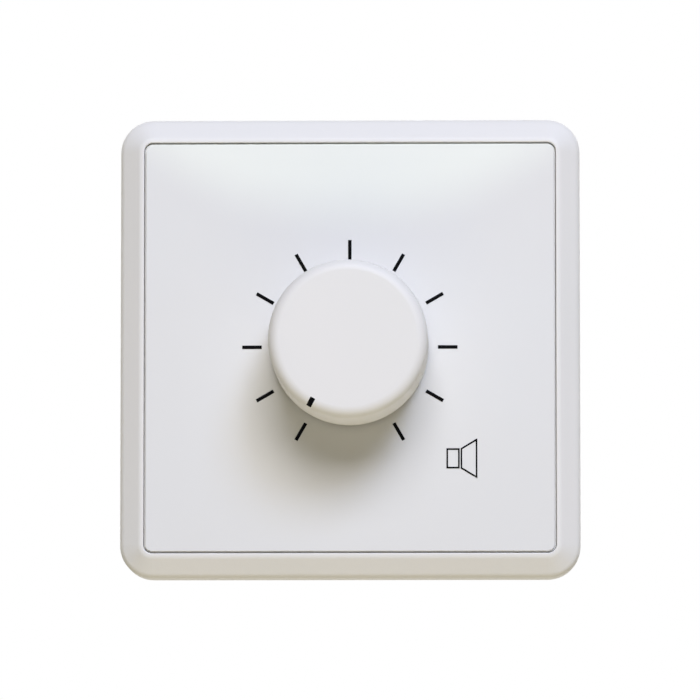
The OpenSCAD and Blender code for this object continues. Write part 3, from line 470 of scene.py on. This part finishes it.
def plate_plastic(name, tones):
    """The front plate's white, with a painted highlight that makes it paler and cooler towards the middle
    of its top edge.
    """
    sizes = bpy.context.scene.control_sizes
    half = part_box("front_plate")[1].x

    # Painted highlight: the tone is mixed towards the pale top colour in a band whose lower edge bows down
    # towards the middle and wavers with soft clouds.
    def painted_top_highlight(tree, place, tone):
        axes = add(tree, "SeparateXYZ", {"Vector": place}).outputs
        aside = maths(tree, "MULTIPLY", axes["X"], axes["X"])
        bow = maths(tree, "MULTIPLY", aside, sizes.plate_fade_bow / half ** 2)
        clouds = maths(tree, "MULTIPLY", noise(tree, place, scale=40), sizes.plate_fade_clouds)
        height = maths(tree, "SUBTRACT", maths(tree, "ADD", axes["Z"], clouds), bow)
        share = add(tree, "MapRange", {
            "Value": height, "From Min": sizes.plate_fade_start,
            "From Max": sizes.plate_fade_start + sizes.plate_fade}, interpolation_type="SMOOTHSTEP")
        return mix_colours(tree, share.outputs["Result"], tone, rgba(tones.plate_painted_highlight))

    drift = towards(tones.plate, (0.76, 0.76, 0.74), share=0.5)
    return moulded(
        name, tones.plate, drift, grain=FINE_GRAIN, roughness=0.42, swing=0.08, depth=0.0045 * MM,
        painted_light=painted_top_highlight)


def black_plastic(name, tones):
    """The switch's black, a little dusty."""
    drift = towards(tones.black, (0.06, 0.055, 0.05), share=0.35)
    return moulded(name, tones.black, drift, grain=1800, roughness=0.42, swing=0.20, depth=0.012 * MM)


def cream_plastic(name, tones):
    """The natural cream of unpainted plastic."""
    drift = towards(tones.cream, (0.60, 0.48, 0.28), share=0.3)
    return moulded(name, tones.cream, drift, grain=1500, roughness=0.45, swing=0.16, depth=0.010 * MM)


def grey_plastic(name, tones):
    """The terminal block's blue-grey."""
    drift = towards(tones.grey, (0.20, 0.23, 0.26), share=0.5)
    return moulded(name, tones.grey, drift, grain=1700, roughness=0.46, swing=0.16, depth=0.012 * MM)


def black_print(name, tones):
    """Screen-printed ink, thin enough to show the plate's grain."""
    drift = towards(tones.ink, (0.05, 0.05, 0.05), share=0.06)
    return moulded(
        name, tones.ink, drift, grain=FINE_GRAIN, roughness=0.48, swing=0.1, depth=0.004 * MM,
        clouds=900, specular=0.03)


def board_track(name, tones):
    """Copper under the board's coating."""
    pale = towards(tones.board, (0.12, 0.38, 0.10), share=0.45)
    deep = towards(tones.board, (0.10, 0.34, 0.10), share=0.3)
    return moulded(name, pale, deep, grain=1600, roughness=0.27, swing=0.1, depth=0.006 * MM, clouds=260)


def plated_steel(name, tones):
    """Plated steel with a yellowish bloom, and streaks along z."""
    drift = towards(tones.plated, (0.68, 0.62, 0.48), share=0.7)
    return metal(
        name, tones.plated, drift, scale=900, stretch=(1, 1, 0.08), roughness=0.36, swing=0.45,
        depth=0.012 * MM)


def spring_steel(name, tones):
    """Dark hardened steel, with streaks along x."""
    drift = towards(tones.spring, (0.22, 0.21, 0.22), share=0.5)
    return metal(
        name, tones.spring, drift, scale=1400, stretch=(0.1, 1, 1), roughness=0.30, swing=0.2,
        depth=0.004 * MM)


def cast_zinc(name, tones):
    """Dull die-cast metal without streaks."""
    drift = towards(tones.cast, (0.36, 0.36, 0.37), share=0.6)
    return metal(
        name, tones.cast, drift, scale=1100, stretch=(1, 1, 1), roughness=0.46, swing=0.18,
        depth=0.02 * MM)


def brass(name, tones):
    """Drawn brass, with streaks along y."""
    drift = towards(tones.brass, (0.50, 0.33, 0.13), share=0.5)
    return metal(
        name, tones.brass, drift, scale=1200, stretch=(1, 0.12, 1), roughness=0.28, swing=0.2,
        depth=0.004 * MM)


def tinned_wire(name, tones):
    """Bright tin without streaks."""
    drift = towards(tones.tin, (0.48, 0.48, 0.48), share=0.6)
    return metal(
        name, tones.tin, drift, scale=1500, stretch=(1, 1, 1), roughness=0.27, swing=0.2,
        depth=0.01 * MM)


def copper_wire(name, tones):
    """Enamelled wire: turns beside each other along the coil."""
    material, tree, shader, place = blank_finish(name)
    turns = bands(tree, place, "Y", scale=900, distortion=0.6, detail=1)
    # Painted shade: the tone is darkest in the hollows between turns, where the relief is lowest.
    hollow_shade = towards(tones.copper, (0.16, 0.05, 0.02), share=0.6)
    tone = mix_colours(tree, turns, rgba(hollow_shade), rgba(tones.copper))
    roughness = spread(tree, turns, out_low=0.42, out_high=0.25)
    shader["Metallic"].default_value = 0.9
    shader["Coat Weight"].default_value = 0.6
    give_skin(tree, shader, tone, roughness, turns, depth=0.06 * MM)
    return material


def yellow_tape(name, tones):
    """Thin polyester tape, drawn tight over the turns of the winding."""
    material, tree, shader, place = blank_finish(name)
    turns = bands(tree, place, "Y", scale=420, distortion=1.2, detail=2)
    deep = towards(tones.tape, (0.50, 0.24, 0.02), share=0.55)
    tone = drifting(tree, place, tones.tape, deep, scale=130)
    roughness = spread(tree, turns, out_low=0.30, out_high=0.42)
    shader["Coat Weight"].default_value = 0.5
    shader["Coat Roughness"].default_value = 0.12
    give_skin(tree, shader, tone, roughness, turns, depth=0.03 * MM)
    return material


def core_steel(name, tones):
    """Steel sheets, each with a tone of its own, under a varnish that is thicker in places."""
    material, tree, shader, place = blank_finish(name)
    along = add(tree, "SeparateXYZ", {"Vector": place}).outputs["Z"]
    sheet = bpy.context.scene.control_sizes.core_sheet
    number = maths(tree, "FLOOR", maths(tree, "DIVIDE", along, sheet))
    each = add(tree, "TexWhiteNoise", {"W": number}, noise_dimensions="1D").outputs["Value"]
    light = towards(tones.core, (0.30, 0.30, 0.31), share=0.6)
    thick = towards(tones.core, (0.10, 0.08, 0.06), share=0.7)
    sheets = mix_colours(tree, each, rgba(tones.core), rgba(light))
    varnish = spread(tree, noise(tree, place, scale=160, detail=3), low=0.38, high=0.70)
    tone = mix_colours(tree, varnish, sheets, rgba(thick))
    roughness = spread(tree, varnish, out_low=0.44, out_high=0.28)
    rolled = noise(tree, place, scale=1600, detail=3)
    shader["Metallic"].default_value = 0.75
    give_skin(tree, shader, tone, roughness, rolled, depth=0.012 * MM)
    return material


def board_laminate(name, tones):
    """Coated glass laminate, with its weave and its bare cut edge."""
    material, tree, shader, place = blank_finish(name)
    threads = [bands(tree, place, axis, scale=330, distortion=0.8, detail=1) for axis in ("X", "Z")]
    weave = maths(tree, "MULTIPLY", *threads)
    weave_share = 0.3
    edge_limit = 0.5
    pale = towards(tones.board, (0.05, 0.24, 0.10), share=0.35)
    coat = drifting(tree, place, tones.board, pale, scale=90)
    face = mix_colours(tree, maths(tree, "MULTIPLY", weave, weave_share), coat, rgba(pale))
    normal = add(tree, "NewGeometry").outputs["True Normal"]
    across = add(tree, "SeparateXYZ", {"Vector": normal}).outputs["Y"]
    edge = maths(tree, "LESS_THAN", maths(tree, "ABSOLUTE", across), edge_limit)
    tone = mix_colours(tree, edge, face, rgba(tones.laminate))
    roughness = spread(tree, edge, out_low=0.26, out_high=0.62)
    give_skin(tree, shader, tone, roughness, weave, depth=0.004 * MM)
    return material


FINISHES = {maker.__name__: maker for maker in (
    white_plastic, plate_plastic, black_plastic, cream_plastic, grey_plastic, black_print, board_track,
    plated_steel, spring_steel, cast_zinc, brass, tinned_wire, copper_wire, yellow_tape, core_steel,
    board_laminate)}


def finish(name):
    """A finish by name, made the first time that it is asked for."""
    label = "finish_" + name
    made = bpy.data.materials.get(label)
    return made or FINISHES[name](label, bpy.context.scene.control_colours)


def paint(*nodes, look=None):
    """Give CAD solids the finish of their slot, or another look."""
    for node in nodes:
        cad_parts[node].material_slots[0].material = finish(look or SLOTS[node])


# Pieces


def add_piece(name, bm, body, slot, replaces=(), look=None):
    """Make a finished object of a bmesh, attach it to the body that it rides on, and hide the solids that
    it replaces.
    """
    mesh = bpy.data.meshes.new(name)
    bm.to_mesh(mesh)
    bm.free()
    mesh.shade_smooth()
    mesh.set_sharp_from_angle(angle=SHARP_ANGLE)
    mesh.materials.append(finish(look or slot))
    piece = bpy.data.objects.new(name, mesh)
    bpy.context.scene.collection.objects.link(piece)
    weighted = piece.modifiers.new("Flat faces", "WEIGHTED_NORMAL")
    weighted.keep_sharp = True
    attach(piece, body)
    if replaces:
        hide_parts(*replaces)


def middle(node):
    """Middle of a solid's box."""
    low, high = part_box(node)
    return (low + high) / 2


def merged_copy(node):
    """A copy of a solid's mesh, with its triangles joined to flat faces."""
    bm = bmesh.new()
    bm.from_mesh(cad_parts[node].data)
    bmesh.ops.remove_doubles(bm, verts=bm.verts, dist=MERGE)
    bmesh.ops.dissolve_limit(bm, angle_limit=FLAT_ANGLE, verts=bm.verts, edges=bm.edges)
    return bm


def break_edges(bm, width):
    """Round every sharp edge by a small width."""
    sharp = [e for e in bm.edges if e.is_manifold and e.calc_face_angle() > SHARP_ANGLE]
    bmesh.ops.bevel(
        bm, geom=sharp, offset=width, offset_type="OFFSET", segments=EDGE_SEGMENTS, profile=0.5,
        affect="EDGES", clamp_overlap=True, material=-1)


def soften(node, width, body="base"):
    """Replace a solid by a copy whose sharp edges are broken."""
    bm = merged_copy(node)
    break_edges(bm, width)
    add_piece(node + "_finished", bm, body, SLOTS[node], (node,))


def lathe(bm, outline, foot, sides):
    """Spin (radius, height) points a full turn round the outward axis through foot."""
    points = [bm.verts.new(foot + Vector((r, 0, 0)) + OUT * h) for r, h in outline]
    edges = [bm.edges.new(pair) for pair in zip(points, points[1:])]
    bmesh.ops.spin(
        bm, geom=points + edges, cent=foot, axis=OUT, angle=math.tau, steps=sides, use_merge=True)


def close_up(bm):
    """Merge doubled points, poles among them, and turn all faces outwards."""
    bmesh.ops.remove_doubles(bm, verts=bm.verts, dist=MERGE)
    bmesh.ops.recalc_face_normals(bm, faces=bm.faces)


def new_points(made):
    """The points that an extrusion made."""
    return [v for v in made["geom"] if isinstance(v, bmesh.types.BMVert)]


def faces_at(verts):
    """The faces at these points, each once."""
    return list(dict.fromkeys(f for v in verts for f in v.link_faces))


# Claw screws


def wind_thread(bm, axis, start, end, root, sizes):
    """A thread between two heights: a three-sided ridge wound round a shank of radius root."""
    half = sizes.thread_width / 2
    foot = root * THREAD_SINK
    turns = (end - start - half) / sizes.thread_pitch
    profile = ((foot, start - half), (sizes.claw_shank, start), (foot, start + half))
    ridge = [bm.verts.new(axis + Vector((r, 0, 0)) + OUT * h) for r, h in profile]
    face = bm.faces.new(ridge)
    bmesh.ops.spin(
        bm, geom=[*ridge, *face.edges, face], cent=axis, axis=OUT, angle=math.tau * turns,
        dvec=OUT * (sizes.thread_pitch / THREAD_STEPS), steps=round(turns * THREAD_STEPS))


def claw_screw(side, sizes):
    """A claw's screw: the solid's slotted head on a shank with a real thread."""
    node = "claw_screw_" + side
    low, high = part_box(node)
    axis = Vector((middle(node).x, 0, middle(node).z))
    head_under = -low.y - sizes.claw_head
    shank_end = head_under + sizes.claw_lap
    tip = -high.y
    root = sizes.claw_shank - sizes.thread_depth
    bm = merged_copy(node)
    break_edges(bm, sizes.turned_break)
    everything = bm.verts[:] + bm.edges[:] + bm.faces[:]
    cut = OUT * (head_under + sizes.turned_break)
    bmesh.ops.bisect_plane(bm, geom=everything, plane_co=cut, plane_no=OUT, clear_inner=True)
    bmesh.ops.holes_fill(bm, edges=[e for e in bm.edges if e.is_boundary])
    # The tip is the solid's half ball, cut to the thread's root.
    ball = sizes.claw_shank
    rim = math.asin(root / ball)
    angles = [rim * n / DOME_STEPS for n in range(DOME_STEPS + 1)]
    dome = [(ball * math.sin(a), tip + ball * (1 - math.cos(a))) for a in angles]
    lathe(bm, [*dome, (root, shank_end), (0, shank_end)], axis, SHANK_SIDES)
    wind_thread(bm, axis, tip + ball, head_under, root, sizes)
    close_up(bm)
    add_piece(node + "_threaded", bm, node, SLOTS[node], (node,))


# Circuit board


def row_places(count, pitch, height):
    """Places (x, z) of a row of pins, centred on the board."""
    return [(pitch * (number - (count - 1) / 2), height) for number in range(count)]


def contact_places():
    """Places (x, z) of the switch's fixed contacts, clockwise from the first."""
    angles = [math.radians(CONTACT_FIRST_ANGLE - CONTACT_STEP_ANGLE * n) for n in range(CONTACT_COUNT)]
    return [(CONTACT_RADIUS * math.cos(a), CONTACT_RADIUS * math.sin(a)) for a in angles]


def coil_pin_places():
    """Places (x, z) of the transformer's pins, the lower row first."""
    rows = [row_places(COIL_PINS_IN_ROW, COIL_PIN_PITCH, height) for height in COIL_PIN_ROWS]
    return sum(rows, [])


def terminal_places():
    """Places (x, z) of the terminals' pins."""
    return row_places(TERMINAL_COUNT, TERMINAL_PITCH, TERMINAL_ROW)


def lay_track(bm, route, level, width):
    """A flat track with mitred bends along points (x, z) on the board's back."""
    points = [Vector((x, level, z)) for x, z in route]
    ways = [(b - a).normalized() for a, b in zip(points, points[1:])]
    edge = None
    for point, before, after in zip(points, [ways[0], *ways], [*ways, ways[-1]]):
        along = (before + after).normalized()
        across = along.cross(OUT) * (width / 2 / along.dot(after))
        if edge is None:
            edge = bm.edges.new((bm.verts.new(point - across), bm.verts.new(point + across)))
            continue
        start = edge.verts[0].co.copy()
        fresh = new_points(bmesh.ops.extrude_edge_only(bm, edges=[edge]))
        left, right = sorted(fresh, key=lambda v: (v.co - start).length)
        left.co, right.co = point - across, point + across
        edge = bm.edges.get((left, right))


def raise_tracks(bm, height):
    """Give flat tracks on the board's back their height."""
    lifted = new_points(bmesh.ops.extrude_face_region(bm, geom=bm.faces[:]))
    bmesh.ops.translate(bm, verts=lifted, vec=-OUT * height)
    bmesh.ops.recalc_face_normals(bm, faces=bm.faces)


def board_tracks(sizes):
    """Tracks from the terminals and the nearest contacts to the transformer's lower pins."""
    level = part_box("circuit_board")[1].y
    pins = coil_pin_places()
    outer, inner = terminal_places()[:2]
    first, second = contact_places()[:2]
    # Heights where slopes start and end, and the left side that the outermost track keeps to
    bend = -11 * MM
    outer_slope_end = bend + 3.4 * MM
    outer_turn = -4 * MM
    inner_slope_end = bend + 0.74 * MM
    contact_bend = first[1] + 1.8 * MM
    contact_slope_end = first[1] + 2.9 * MM
    stub_end = second[1] + 2 * MM
    left = -11.4 * MM
    routes = [
        [outer, (outer[0], bend), (left, outer_slope_end), (left, outer_turn), pins[0]],
        [inner, (inner[0], bend), (pins[2][0], inner_slope_end), pins[2]],
        [first, (first[0], contact_bend), (pins[1][0], contact_slope_end), pins[1]],
        [second, (second[0], stub_end)],
    ]
    bm = bmesh.new()
    for route in routes:
        lay_track(bm, route, level, sizes.track_width)
        lay_track(bm, [(-x, z) for x, z in route], level, sizes.track_width)
    raise_tracks(bm, sizes.track_height)
    add_piece("board_tracks", bm, "base", SLOTS["circuit_board"], look="board_track")


def soldered_joint(bm, foot, side, sizes):
    """A soldered joint, hollow at its flank, on the board's front (1) or back (-1)."""
    outline = [(r * sizes.joint_radius, h * sizes.joint_height * side) for r, h in JOINT_OUTLINE]
    lathe(bm, outline, foot, JOINT_SIDES)


def board_joints(sizes):
    """Soldered joints: on the board's front round the pins, and on its back where contacts show."""
    low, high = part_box("circuit_board")
    bobbin_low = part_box("transformer_bobbin")[0].z
    bm = bmesh.new()
    for x, z in coil_pin_places() + terminal_places():
        soldered_joint(bm, Vector((x, low.y, z)), 1, sizes)
    for x, z in contact_places():
        if z + sizes.joint_radius < bobbin_low:
            soldered_joint(bm, Vector((x, high.y, z)), -1, sizes)
    close_up(bm)
    add_piece("soldered_joints", bm, "base", SLOTS["transformer_pins"])


def board_outline(sizes):
    """The printed line round three sides of the terminal block's place."""
    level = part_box("circuit_board")[1].y
    low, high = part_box("terminal_block")
    gap = sizes.outline_gap
    left, right = low.x - gap, high.x + gap
    bottom, top = low.z - gap / 2, high.z + gap
    lines = (
        [(left, bottom), (left, top)],
        [(right, bottom), (right, top)],
        [(left, top), (right, top)],
    )
    bm = bmesh.new()
    for line in lines:
        lay_track(bm, line, level, sizes.outline_width)
    raise_tracks(bm, sizes.outline_height)
    add_piece("board_outline", bm, "base", SLOTS["cover_frame"])


# Transformer


def core_sheets(sizes):
    """The transformer's core as a stack of punched sheets that stand back by turns."""
    low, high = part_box("transformer_core")
    centre = middle("transformer_core")
    size = high - low
    column = size.x / CORE_COLUMNS
    row = size.y / CORE_ROWS
    bm = bmesh.new()
    for number in range(round(size.z / sizes.core_sheet)):
        back = sizes.core_step * (CORE_STRIDE * number % CORE_CYCLE) / (CORE_CYCLE - 1)
        scale = Matrix.Diagonal((size.x - 2 * back, size.y - 2 * back, 1, 1))
        place = Matrix.Translation((centre.x, centre.y, low.z + number * sizes.core_sheet))
        grid = bmesh.ops.create_grid(
            bm, x_segments=CORE_COLUMNS, y_segments=CORE_ROWS, size=0.5, matrix=place @ scale)
        faces = faces_at(grid["verts"])
        windows = []
        for face in faces:
            away = face.calc_center_median() - centre
            in_column = int(abs(away.x) / column) == WINDOW_COLUMN
            if in_column and round(abs(away.y) / row) <= WINDOW_LAST_ROW:
                windows.append(face)
        bmesh.ops.delete(bm, geom=windows, context="FACES")
        sheet = [f for f in faces if f.is_valid]
        lifted = new_points(bmesh.ops.extrude_face_region(bm, geom=sheet))
        bmesh.ops.translate(bm, verts=lifted, vec=(0, 0, sizes.core_sheet * CORE_FILL))
    bmesh.ops.recalc_face_normals(bm, faces=bm.faces)
    add_piece("core_sheets", bm, "base", SLOTS["transformer_core"], ("transformer_core",))


def swelling(y, low, high):
    """How far the tape is swollen at a place between its edges, from 0 to 1 in the middle."""
    return math.sin(math.pi * (y - low.y) / (high.y - low.y))


def tape_flap(bm, sizes):
    """The tape's last end, which lies over the other layers on the coil's upper side."""
    low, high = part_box("winding_tape")
    size = high - low
    centre = middle("winding_tape")
    place = Matrix.Translation((centre.x, centre.y, high.z))
    flap = bmesh.ops.create_grid(
        bm, x_segments=1, y_segments=TAPE_RINGS, size=0.5,
        matrix=place @ Matrix.Diagonal((sizes.tape_end, size.y, 1, 1)))
    bulge = sizes.tape_bulge * size.z / size.x
    for vert in flap["verts"]:
        vert.co.z += bulge * swelling(vert.co.y, low, high) + sizes.tape_layer
    bmesh.ops.solidify(bm, geom=faces_at(flap["verts"]), thickness=2 * sizes.tape_layer)


def wound_tape(sizes):
    """The tape round the winding, swelling a little between the flanges."""
    low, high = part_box("winding_tape")
    centre = middle("winding_tape")
    size = high - low
    bm = bmesh.new()
    upright = Matrix.Rotation(math.radians(90), 4, "X") @ Matrix.Diagonal((size.x, size.z, 1, 1))
    square = bmesh.ops.create_grid(
        bm, x_segments=1, y_segments=1, size=0.5,
        matrix=Matrix.Translation((centre.x, low.y, centre.z)) @ upright)
    bmesh.ops.bevel(
        bm, geom=square["verts"], offset=sizes.tape_corner, offset_type="OFFSET",
        segments=CORNER_SEGMENTS, profile=0.5, affect="VERTICES", material=-1)
    edges = bm.edges[:]
    bmesh.ops.delete(bm, geom=bm.faces[:], context="FACES_ONLY")
    for _ in range(TAPE_RINGS):
        made = bmesh.ops.extrude_edge_only(bm, edges=edges)
        verts = new_points(made)
        drawn = [e for e in made["geom"] if isinstance(e, bmesh.types.BMEdge)]
        edges = [e for e in drawn if all(v in verts for v in e.verts)]
        bmesh.ops.translate(bm, verts=verts, vec=(0, size.y / TAPE_RINGS, 0))
    for vert in bm.verts:
        swell = sizes.tape_bulge * swelling(vert.co.y, low, high) / (size.x / 2)
        vert.co.x += (vert.co.x - centre.x) * swell
        vert.co.z += (vert.co.z - centre.z) * swell
    bmesh.ops.recalc_face_normals(bm, faces=bm.faces)
    bmesh.ops.solidify(bm, geom=bm.faces[:], thickness=sizes.tape_thickness)
    tape_flap(bm, sizes)
    bmesh.ops.recalc_face_normals(bm, faces=bm.faces)
    add_piece("wound_tape", bm, "base", SLOTS["winding_tape"], ("winding_tape",))


# Stage


def seen_rays(tree):
    """1 for rays from the camera, from reflections and through glass, and 0 for all others."""
    rays = add(tree, "LightPath").outputs
    straight = maths(tree, "MAXIMUM", rays["Is Camera Ray"], rays["Is Glossy Ray"])
    return maths(tree, "MAXIMUM", straight, rays["Is Transmission Ray"])


def floor_finish(stage):
    """Matt paint, which the camera and reflections see part of the way to white."""
    material, tree, shader, place = blank_finish("floor_paint")
    drift = towards(stage.floor_colour, (0.80, 0.80, 0.80), share=0.3)
    put(tree, shader["Base Color"], drifting(tree, place, stage.floor_colour, drift, scale=3))
    shader["Roughness"].default_value = 0.8
    matt = tree.nodes["Principled BSDF"].outputs["BSDF"]
    white = add(tree, "Emission", {"Color": WHITE, "Strength": 1.0}).outputs["Emission"]
    share = maths(tree, "MULTIPLY", seen_rays(tree), stage.floor_white)
    put(tree, tree.nodes["Material Output"].inputs["Surface"], mix_shaders(tree, share, matt, white))
    return material


def lay_floor(stage):
    """A pale floor that reads nearly white and keeps the object's shadow."""
    bm = bmesh.new()
    place = Matrix.Translation((0, 0, -stage.floor_drop))
    bmesh.ops.create_circle(
        bm, cap_ends=True, segments=FLOOR_SIDES, radius=stage.floor_radius, matrix=place)
    mesh = bpy.data.meshes.new("floor")
    bm.to_mesh(mesh)
    bm.free()
    floor = bpy.data.objects.new("floor", mesh)
    bpy.context.scene.collection.objects.link(floor)
    mesh.materials.append(floor_finish(stage))


def set_up(data, place, gaze):
    """An object for a lamp or a camera, at a place and looking along gaze."""
    holder = bpy.data.objects.new(data.name, data)
    holder.location = place
    holder.rotation_euler = gaze.to_track_quat("-Z", "Y").to_euler()
    bpy.context.scene.collection.objects.link(holder)
    return holder


def hang_lamp(stage, name, side=1):
    """A soft lamp that looks at the object's middle, in its place or (-1) mirrored to the left."""
    right, far, up = getattr(stage, name + "_place")
    place = Vector((right * side, far, up))
    lamp = bpy.data.lights.new(name + "_lamp", "AREA")
    lamp.shape = "RECTANGLE"
    lamp.size, lamp.size_y = getattr(stage, name + "_size")
    lamp.energy = getattr(stage, name + "_power")
    lamp.color = getattr(stage, name + "_colour")
    set_up(lamp, place, -place)


def surround(scene, stage):
    """Soft light from all round, which the camera and reflections see as white."""
    world = bpy.data.worlds.new("surroundings")
    scene.world = world
    world.use_nodes = True
    tree = world.node_tree
    tree.nodes.clear()
    soft = add(tree, "Background", {"Color": rgba(stage.ambient_colour), "Strength": stage.ambient})
    white = add(tree, "Background", {"Color": WHITE, "Strength": 1.0})
    mixed = mix_shaders(tree, seen_rays(tree), soft.outputs["Background"], white.outputs["Background"])
    put(tree, add(tree, "OutputWorld").inputs["Surface"], mixed)


def set_camera(scene, stage):
    """The camera at the photograph's viewing angle."""
    flat = math.cos(stage.camera_rise)
    right = math.sin(stage.camera_side) * flat
    far = -math.cos(stage.camera_side) * flat
    back = Vector((right, far, math.sin(stage.camera_rise)))
    data = bpy.data.cameras.new("camera")
    data.sensor_width = SENSOR_WIDTH
    data.lens = stage.camera_lens
    data.clip_start = CLIP_START
    data.clip_end = CLIP_END
    scene.camera = set_up(data, Vector(stage.camera_target) + back * stage.camera_distance, -back)


# Operators


class Dresser:
    """What every operator of this add-on shares."""

    bl_options = {"REGISTER", "UNDO"}


class CONTROL_OT_cover_frame(Dresser, bpy.types.Operator):
    """Give the cover frame its moulded finish"""

    bl_idname = "volume_control.cover_frame"
    bl_label = "Cover frame"

    def execute(self, context):
        paint("cover_frame")
        return {"FINISHED"}


class CONTROL_OT_front_plate(Dresser, bpy.types.Operator):
    """Finish the front plate and its printed marks"""

    bl_idname = "volume_control.front_plate"
    bl_label = "Front plate and print"

    def execute(self, context):
        paint("front_plate", look="plate_plastic")
        paint("scale_marks", "speaker_sign")
        return {"FINISHED"}


class CONTROL_OT_knob(Dresser, bpy.types.Operator):
    """Finish the knob, its pointer and its spring ring"""

    bl_idname = "volume_control.knob"
    bl_label = "Knob"

    def execute(self, context):
        paint("knob", "pointer_mark", "hub_ring")
        return {"FINISHED"}


class CONTROL_OT_nuts(Dresser, bpy.types.Operator):
    """Finish the nuts and washers on the switch's bushing"""

    bl_idname = "volume_control.nuts"
    bl_label = "Nuts and washers"

    def execute(self, context):
        paint("plate_nut", "plate_washer", "switch_nut", "lock_washer")
        return {"FINISHED"}


class CONTROL_OT_support_plate(Dresser, bpy.types.Operator):
    """Make the pressed support plate with broken edges"""

    bl_idname = "volume_control.support_plate"
    bl_label = "Support plate"

    def execute(self, context):
        soften("support_plate", context.scene.control_sizes.sheet_break)
        return {"FINISHED"}


class CONTROL_OT_claws(Dresser, bpy.types.Operator):
    """Make the spreading claws, their pins and their threaded screws"""

    bl_idname = "volume_control.claws"
    bl_label = "Spreading claws"

    def execute(self, context):
        sizes = context.scene.control_sizes
        soften("claw_pins", sizes.turned_break)
        for side in ("left", "right"):
            soften("claw_" + side, sizes.sheet_break, "claw_" + side)
            claw_screw(side, sizes)
        return {"FINISHED"}


class CONTROL_OT_switch(Dresser, bpy.types.Operator):
    """Make the rotary switch's case and finish its inside"""

    bl_idname = "volume_control.switch"
    bl_label = "Rotary switch"

    def execute(self, context):
        sizes = context.scene.control_sizes
        for node in ("switch_housing", "switch_base"):
            soften(node, sizes.moulded_round)
        soften("switch_bushing", sizes.turned_break)
        paint("stop_ring", "detent_spring", "switch_shaft", "shaft_clip", "detent_wheel",
              "contact_rotor", "wiper", "fixed_contacts", "common_contact")
        return {"FINISHED"}


class CONTROL_OT_board(Dresser, bpy.types.Operator):
    """Finish the circuit board and make its tracks, soldered joints and printed line"""

    bl_idname = "volume_control.board"
    bl_label = "Circuit board"

    def execute(self, context):
        sizes = context.scene.control_sizes
        paint("circuit_board")
        board_tracks(sizes)
        board_joints(sizes)
        board_outline(sizes)
        return {"FINISHED"}


class CONTROL_OT_spacers(Dresser, bpy.types.Operator):
    """Make the board's spacers and screws"""

    bl_idname = "volume_control.spacers"
    bl_label = "Spacers and screws"

    def execute(self, context):
        for node in ("board_spacers", "board_screws"):
            soften(node, context.scene.control_sizes.turned_break)
        return {"FINISHED"}


class CONTROL_OT_transformer(Dresser, bpy.types.Operator):
    """Make the transformer's core, tape, bobbin and clamp, and finish its winding and pins"""

    bl_idname = "volume_control.transformer"
    bl_label = "Transformer"

    def execute(self, context):
        sizes = context.scene.control_sizes
        core_sheets(sizes)
        wound_tape(sizes)
        soften("transformer_bobbin", sizes.moulded_round)
        soften("core_clamp", sizes.sheet_break)
        paint("transformer_winding", "transformer_pins")
        return {"FINISHED"}


class CONTROL_OT_terminals(Dresser, bpy.types.Operator):
    """Make the terminal block and its screws, and finish its cages"""

    bl_idname = "volume_control.terminals"
    bl_label = "Terminals"

    def execute(self, context):
        sizes = context.scene.control_sizes
        soften("terminal_block", sizes.moulded_round)
        paint("terminal_cages")
        for number in range(TERMINAL_COUNT):
            node = f"terminal_screw_{number + 1}"
            soften(node, sizes.turned_break, node)
        return {"FINISHED"}


class CONTROL_OT_stage(Dresser, bpy.types.Operator):
    """Set up the floor, the lamps, the white surroundings and the camera"""

    bl_idname = "volume_control.stage"
    bl_label = "Studio stage"

    def execute(self, context):
        stage = context.scene.control_stage
        lay_floor(stage)
        for lamp in ("key", "side", "low", "back"):
            hang_lamp(stage, lamp)
        hang_lamp(stage, "back", side=-1)
        surround(context.scene, stage)
        set_camera(context.scene, stage)
        context.scene.view_settings.view_transform = "Standard"
        return {"FINISHED"}


# Add-on


OPERATORS = (
    CONTROL_OT_cover_frame, CONTROL_OT_front_plate, CONTROL_OT_knob, CONTROL_OT_nuts,
    CONTROL_OT_support_plate, CONTROL_OT_claws, CONTROL_OT_switch, CONTROL_OT_board,
    CONTROL_OT_spacers, CONTROL_OT_transformer, CONTROL_OT_terminals, CONTROL_OT_stage)


class CONTROL_PT_dress(bpy.types.Panel):
    """Steps that dress the volume control"""

    bl_idname = "CONTROL_PT_dress"
    bl_label = "Volume control"
    bl_space_type = "VIEW_3D"
    bl_region_type = "UI"
    bl_category = "Volume control"

    def draw(self, context):
        column = self.layout.column(align=True)
        for operator in OPERATORS:
            column.operator(operator.bl_idname)
        for group in ("control_sizes", "control_colours", "control_stage"):
            values = getattr(context.scene, group)
            section = self.layout.box()
            for name in values.bl_rna.properties.keys():
                if name not in {"rna_type", "name"}:
                    section.prop(values, name)


CLASSES = (ControlSizes, ControlColours, ControlStage, *OPERATORS, CONTROL_PT_dress)


def register():
    """Register the classes and give scenes their sizes, colours and stage values."""
    for cls in CLASSES:
        bpy.utils.register_class(cls)
    bpy.types.Scene.control_sizes = PointerProperty(type=ControlSizes)
    bpy.types.Scene.control_colours = PointerProperty(type=ControlColours)
    bpy.types.Scene.control_stage = PointerProperty(type=ControlStage)


def unregister():
    """Take away what register added, in reverse order."""
    del bpy.types.Scene.control_stage
    del bpy.types.Scene.control_colours
    del bpy.types.Scene.control_sizes
    for cls in reversed(CLASSES):
        bpy.utils.unregister_class(cls)


def main():
    """Dress the control step by step."""
    register()
    for operator in OPERATORS:
        group, step = operator.bl_idname.split(".")
        getattr(getattr(bpy.ops, group), step)()


if __name__ == "__main__":
    main()
